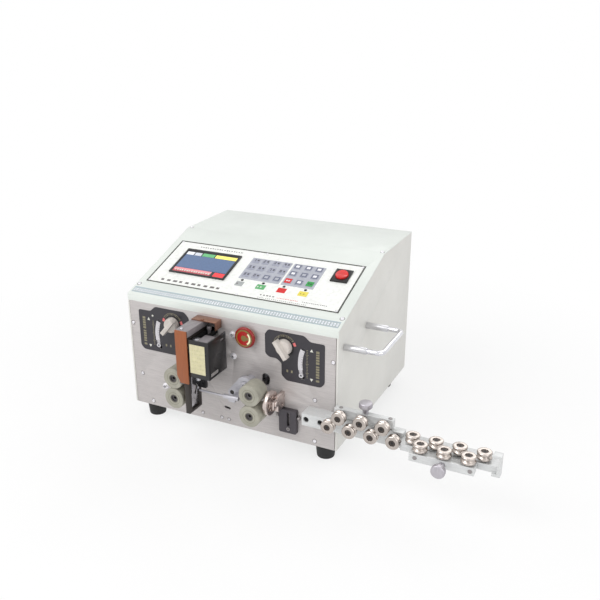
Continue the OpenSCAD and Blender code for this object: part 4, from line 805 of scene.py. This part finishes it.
def arcStrip(side):
    arc, centre, place = arcLook, arcCentre[side], frontFrame(0, 0)
    inner, outer = arc["radius"] - arc["halfWidth"], arc["radius"] + arc["halfWidth"]
    bm = bmesh.new()
    raiseBand(bm, place, centre, (inner, outer), arc["angles"], *arc["depths"])
    reach = [inner + r for r in arc["markReach"]]
    for i in range(arc["marks"]):
        angle = arc["angles"][0] + arc["markFrom"] + i * arc["markEvery"]
        raiseBand(bm, place, centre, reach, (angle, angle + arc["markWide"]), arc["depths"][1],
                  arc["markTop"], 1, 2)
    makePiece(side + "ScaleStrip", bm, ["stripIvory", "inkGrey"])
    pinX = centre[0] - math.sqrt(arc["radius"] ** 2 - arc["pinDrop"] ** 2)
    foot, face, top = arc["capLevels"]
    bm = bmesh.new()
    raiseDisc(bm, place, pinX, arc["pinZ"], arc["cap"], foot, face)
    raiseDisc(bm, place, pinX, arc["pinZ"], arc["eye"], face, top, 1)
    raiseBand(bm, place, centre, arc["tongue"], arc["tongueAngles"], *arc["tongueDepths"], 0, 6)
    makePiece(side + "PinCap", bm, ["stripIvory", "inkDark"], side + "_carriage")


for side in ("left", "right"):
    printPlateAndShadow(side)
    arcStrip(side)

# emergency stop: bright dish with an olive ring, a hub with its pointer, and a painted highlight on the
# dish's right side
stopLook = {"at": (38.8, 174.6), "face": 11.42, "dish": 12.6, "ring": (12.4, 14.6), "hub": 5.2,
            "pointer": ((4.4, -2.4), (9.0, -2.2), (9.0, 2.2), (4.4, 2.4)), "shine": (9.4, 12.9),
            "shineTurn": (-58, 50), "foot": 0.9, "rises": (0.02, 0.08, 0.1, 0.06)}


def stopFace():
    look = stopLook
    place = frontFrame(*look["at"])
    top = look["face"]
    foot = top - look["foot"]
    dishTop, ringTop, hubTop, highlightTop = (top + rise for rise in look["rises"])
    bm = bmesh.new()
    raiseDisc(bm, place, 0, 0, look["dish"], foot, dishTop, 1, 48)
    raiseBand(bm, place, (0, 0), look["ring"], (0, 360), foot, ringTop, 0, 48)
    raiseDisc(bm, place, 0, 0, look["hub"], top, hubTop)
    raiseOutline(bm, place, look["pointer"], top, ringTop)
    # the shine band: a painted highlight in cream on the dish's right side
    raiseBand(bm, place, (0, 0), look["shine"], look["shineTurn"], top, highlightTop, 2, 16)
    makePiece("stopFaceMarks", bm, ["stopGold", "stopBright", "stopShine"], "stop_button")


stopFace()

# cutter: cream label on the cover, with rows of plain bars
labelLook = {"reach": 67, "paper": (-30.5, -1.8, 123, 174), "inner": (-29.3, -3.0, 124.2, 172.8),
             "levels": (0.03, 0.2, 0.22, 0.24), "rows": (163.5, 157, 150.5, 144, 137.5, 131), "left": -26,
             "pitch": 4.4, "bar": (2.9, 2.0), "bars": (4, 5)}


def coverLabel():
    look = labelLook
    place = frontFrame(0, 0, look["reach"])
    foot, paper, inner, ink = look["levels"]
    wide, tall = look["bar"]
    bm = bmesh.new()
    raiseBox(bm, place, look["paper"], foot, paper)
    raiseBox(bm, place, look["inner"], paper, inner, 1)
    for i, row in enumerate(look["rows"]):
        for k in range(look["bars"][i % 2]):
            left = look["left"] + k * look["pitch"]
            raiseBox(bm, place, (left, left + wide, row, row + tall), inner, ink, 2)
    makePiece("coverLabel", bm, ["labelCream", "labelCream", "labelLine"])


coverLabel()

# ribs on both runs of the belt
beltLook = {"x": -26, "low": 169.2, "high": 176.8, "half": 6.95, "from": -33, "to": 46, "pitch": 2.6,
            "rise": 0.35, "rib": 1.2}


def beltRibs():
    look = beltLook
    bm = bmesh.new()
    place = frontFrame(0, 0)
    count = int((look["to"] - look["from"]) / look["pitch"])
    for side in (-1, 1):
        edge = look["x"] + side * look["half"]
        left, right = sorted((edge, edge + side * look["rise"]))
        for i in range(count):
            d = look["from"] + i * look["pitch"]
            raiseBox(bm, place, (left, right, look["low"], look["high"]), d, d + look["rib"])
    makePiece("beltRibs", bm, ["belt_rubber"])


beltRibs()

# feed rollers: shallow step rings on each face in a darker olive, painted shade at the steps, as inner and
# outer radius with their height
feedShadeRings = {"sides": (("left", -72), ("right", 72)), "levels": (("upper", 99.55), ("lower", 62.45)),
             "face": 60, "foot": -0.2, "rings": ((10.7, 11.3, 0.12), (6.86, 7.5, 0.16))}
for side, x in feedShadeRings["sides"]:
    for level, z in feedShadeRings["levels"]:
        bm = bmesh.new()
        place = frontFrame(x, z, feedShadeRings["face"])
        for inner, outer, top in feedShadeRings["rings"]:
            raiseBand(bm, place, (0, 0), (inner, outer), (0, 360), feedShadeRings["foot"], top, 0, 40)
        roller = side + "_" + level + "_feed_roller"
        makePiece(side + level.capitalize() + "FeedRing", bm, ["tyreShade"], roller)

# straightener axles: a dark hexagon of painted shade in each head's socket
socketShadeLook = {"radius": 2.4, "levels": (-1.2, -0.94)}
carrierOf = {"bottom": "root", "rear": "root", "top": "upper_slide_block", "front": "front_slide_block"}
for row, carrier in carrierOf.items():
    bm = bmesh.new()
    for node in [n for n in nodes if n.startswith(row + "_roller")]:
        low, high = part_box(node)
        middle = (low + high) / 2
        if row in ("bottom", "top"):
            place = Matrix.Translation((middle.x, low.y, middle.z)) @ Matrix.Rotation(math.pi / 2, 4, "X")
        else:
            place = Matrix.Translation((middle.x, middle.y, high.z))
        raiseDisc(bm, place, 0, 0, socketShadeLook["radius"], *socketShadeLook["levels"], sides=6)
    makePiece(row + "AxleSockets", bm, ["socketDark"], carrier)

# front plate and cover: a thin ring of painted shade around each screw head; the plate's heads are found by
# their reach and height in metres
screwShadeLook = {"reach": (0.001, 0.002), "tall": 0.008, "ring": (-0.2, 0.9), "levels": (0.01, 0.06), "u": 194,
            "v": 30, "behindFold": 5, "coverRing": (3.2, 4.3), "coverLevels": (0.01, 0.08)}


def paintedScrewShade():
    look = screwShadeLook
    source = joinedMesh("case_screws")
    bm = bmesh.new()
    for group in solidsOf(source):
        low, high = boxOf(group)
        nearest, farthest = look["reach"]
        if nearest < plateY - low.y < farthest and high.z - low.z < look["tall"]:
            middle = (low + high) / 2
            ring = [(high.x - low.x) * 500 + step for step in look["ring"]]
            place = Matrix.Translation((middle.x, plateY, middle.z)) @ Matrix.Rotation(math.pi / 2, 4, "X")
            raiseBand(bm, place, (0, 0), ring, (0, 360), *look["levels"])
    source.free()
    for u in (-look["u"], look["u"]):
        behind = Vector((u / 1000, coverHigh.y - flatDepth + look["behindFold"] / 1000, coverHigh.z))
        for place in (slopeFrame(u, look["v"]), Matrix.Translation(behind)):
            raiseBand(bm, place, (0, 0), look["coverRing"], (0, 360), *look["coverLevels"])
    makePiece("plateScrewRings", bm, ["screwShade"])


paintedScrewShade()

# cap screws: painted shade in each head, a dark hexagon in the socket and a dark ring on its bevel
capShadeLook = {"places": ((12, 172.9), (12, 133.5), (-131, 46)), "socket": (1.85, 2.9, 3.06), "bevel": (1.9, 2.6),
           "rim": (5.1, 5.25)}


def capSockets():
    look = capShadeLook
    bm = bmesh.new()
    radius, base, top = look["socket"]
    for x, z in look["places"]:
        raiseDisc(bm, frontFrame(x, z), 0, 0, radius, base, top, sides=6)
        raiseBand(bm, frontFrame(x, z), (0, 0), look["bevel"], (0, 360), *look["rim"])
    makePiece("capSockets", bm, ["socketDark"])


capSockets()

# guide arm: a dark clamp screw in the hole near its tip
armScrew = {"at": (21, 79), "radius": 3.9, "socket": 1.9, "levels": (21.9, 24.3, 24.35)}


def armClamp():
    look = armScrew
    bm = bmesh.new()
    place = frontFrame(*look["at"])
    foot, face, top = look["levels"]
    raiseDisc(bm, place, 0, 0, look["radius"], foot, face)
    raiseDisc(bm, place, 0, 0, look["socket"], face, top, 1, 6)
    makePiece("armClampScrew", bm, ["socketDark", "steelDark"], "guide_arm")


armClamp()

# knurls on the two pressure screws
knurlLook = {"count": 36, "ridge": (10.0, 10.42, -0.42, 0.42), "levels": (1.2, 7.8),
             "upper": (256, 23, 105.4), "front": (388.5, 66.5, 79.9)}


def knurl(name, place, body):
    look = knurlLook
    bm = bmesh.new()
    for i in range(look["count"]):
        turn = place @ Matrix.Rotation(2 * math.pi * i / look["count"], 4, "Z")
        raiseBox(bm, turn, look["ridge"], *look["levels"])
    makePiece(name, bm, ["head_silver"], body)


knurl("upperPressKnurl", Matrix.Translation(front(*knurlLook["upper"])), "upper_press_screw")
knurl("frontPressKnurl", frontFrame(*knurlLook["front"]), "front_press_screw")
print("details built")

# floor, light and camera, in metres: a lamp has its place, its size and its watts
stageLook = {"floor": (0.97, 0.97, 0.97), "half": 6.0, "roughness": 0.8, "specular": 0.1, "cloud": 3.0,
             "shades": (0.99, 1.01), "fade": (0.45, 0.9), "white": 0.72, "world": 0.605,
             "aim": (0.05, -0.05, 0.15)}
lamps = {"keyLamp": ((-0.9, -1.5, 1.9), 1.6, 25.0), "fillLamp": ((1.8, -1.2, 1.0), 1.6, 11.0),
         "rimLamp": ((0.3, 1.6, 1.8), 1.4, 9.0)}


# 1 for the rays that show the white backdrop: straight to the camera, in metal or through glass
def backdropRays(tree):
    rays = tree.nodes.new("ShaderNodeLightPath")
    found = rays.outputs["Is Camera Ray"]
    for kind in ("Is Glossy Ray", "Is Transmission Ray"):
        larger = tree.nodes.new("ShaderNodeMath")
        larger.operation = "MAXIMUM"
        joinInputs(tree, larger, found, rays.outputs[kind])
        found = larger.outputs["Value"]
    return found


def paleFloor():
    look = stageLook
    bm = bmesh.new()
    bmesh.ops.create_grid(bm, x_segments=1, y_segments=1, size=look["half"])
    mesh = bpy.data.meshes.new("floorSheet")
    bm.to_mesh(mesh)
    bm.free()
    material, tree, skin = shader("floorPaper", look["floor"], look["roughness"], specular=look["specular"])
    tint(tree, skin, noise(tree, look["cloud"]), look["floor"], look["shades"])
    # away from the machine the paper turns into the white backdrop
    coords = tree.nodes.new("ShaderNodeTexCoord")
    length = tree.nodes.new("ShaderNodeVectorMath")
    length.operation = "LENGTH"
    tree.links.new(coords.outputs["Object"], length.inputs[0])
    glow = tree.nodes.new("ShaderNodeEmission")
    mixer = tree.nodes.new("ShaderNodeMixShader")
    shown = tree.nodes.new("ShaderNodeMath")
    shown.operation = "MULTIPLY"
    white = spread(tree, length.outputs["Value"], look["white"], 1.0, look["fade"])
    joinInputs(tree, shown, white, backdropRays(tree))
    joinInputs(tree, mixer, shown.outputs["Value"], skin.outputs["BSDF"], glow.outputs["Emission"])
    tree.links.new(mixer.outputs["Shader"], tree.nodes["Material Output"].inputs["Surface"])
    mesh.materials.append(material)
    floor = bpy.data.objects.new("floorSheet", mesh)
    scene.collection.objects.link(floor)


def areaLamp(name, place, aim, size, watts):
    data = bpy.data.lights.new(name, "AREA")
    data.size = size
    data.energy = watts
    lamp = bpy.data.objects.new(name, data)
    lamp.location = place
    lamp.rotation_euler = (Vector(aim) - Vector(place)).to_track_quat("-Z", "Y").to_euler()
    scene.collection.objects.link(lamp)


paleFloor()
for name, (place, size, watts) in lamps.items():
    areaLamp(name, place, stageLook["aim"], size, watts)
world = bpy.data.worlds.new("studio")
world.use_nodes = True
sky = world.node_tree
daylight = sky.nodes["Background"]
setInputs(daylight, {"Color": (1, 1, 1, 1), "Strength": stageLook["world"]})
backdrop = sky.nodes.new("ShaderNodeBackground")
setInputs(backdrop, {"Color": (1, 1, 1, 1)})
chooser = sky.nodes.new("ShaderNodeMixShader")
joinInputs(sky, chooser, backdropRays(sky), daylight.outputs["Background"], backdrop.outputs["Background"])
sky.links.new(chooser.outputs["Shader"], sky.nodes["World Output"].inputs["Surface"])
scene.world = world

# the photograph's camera: bearing, height angle, roll, distance and lens
shot = {"bearing": 27.401, "rise": 21.675, "roll": -0.791, "distance": 1.42425, "focalPixels": 766.77,
        "centreX": 274.97, "centreY": 310.46, "frame": 600, "sensor": 36.0, "aimAboveCase": 0.150}


def photoCamera():
    bearing, rise, roll = (math.radians(shot[k]) for k in ("bearing", "rise", "roll"))
    aim = Vector((0, 0, footTop + shot["aimAboveCase"]))
    back = Vector((math.sin(bearing) * math.cos(rise), -math.cos(bearing) * math.cos(rise), math.sin(rise)))
    right = Vector((math.cos(bearing), math.sin(bearing), 0))
    up = back.cross(right)
    tiltedRight = right * math.cos(roll) + up * math.sin(roll)
    tiltedUp = up * math.cos(roll) - right * math.sin(roll)
    data = bpy.data.cameras.new("photoCamera")
    data.sensor_width = shot["sensor"]
    data.lens = shot["focalPixels"] * shot["sensor"] / shot["frame"]
    data.shift_x = (shot["frame"] / 2 - shot["centreX"]) / shot["frame"]
    data.shift_y = (shot["centreY"] - shot["frame"] / 2) / shot["frame"]
    camera = bpy.data.objects.new("photoCamera", data)
    camera.matrix_world = Matrix((
        (tiltedRight.x, tiltedUp.x, back.x, 0), (tiltedRight.y, tiltedUp.y, back.y, 0),
        (tiltedRight.z, tiltedUp.z, back.z, 0), (0, 0, 0, 1)))
    camera.matrix_world.translation = aim + back * shot["distance"]
    scene.collection.objects.link(camera)
    scene.camera = camera


photoCamera()
print("stage set")
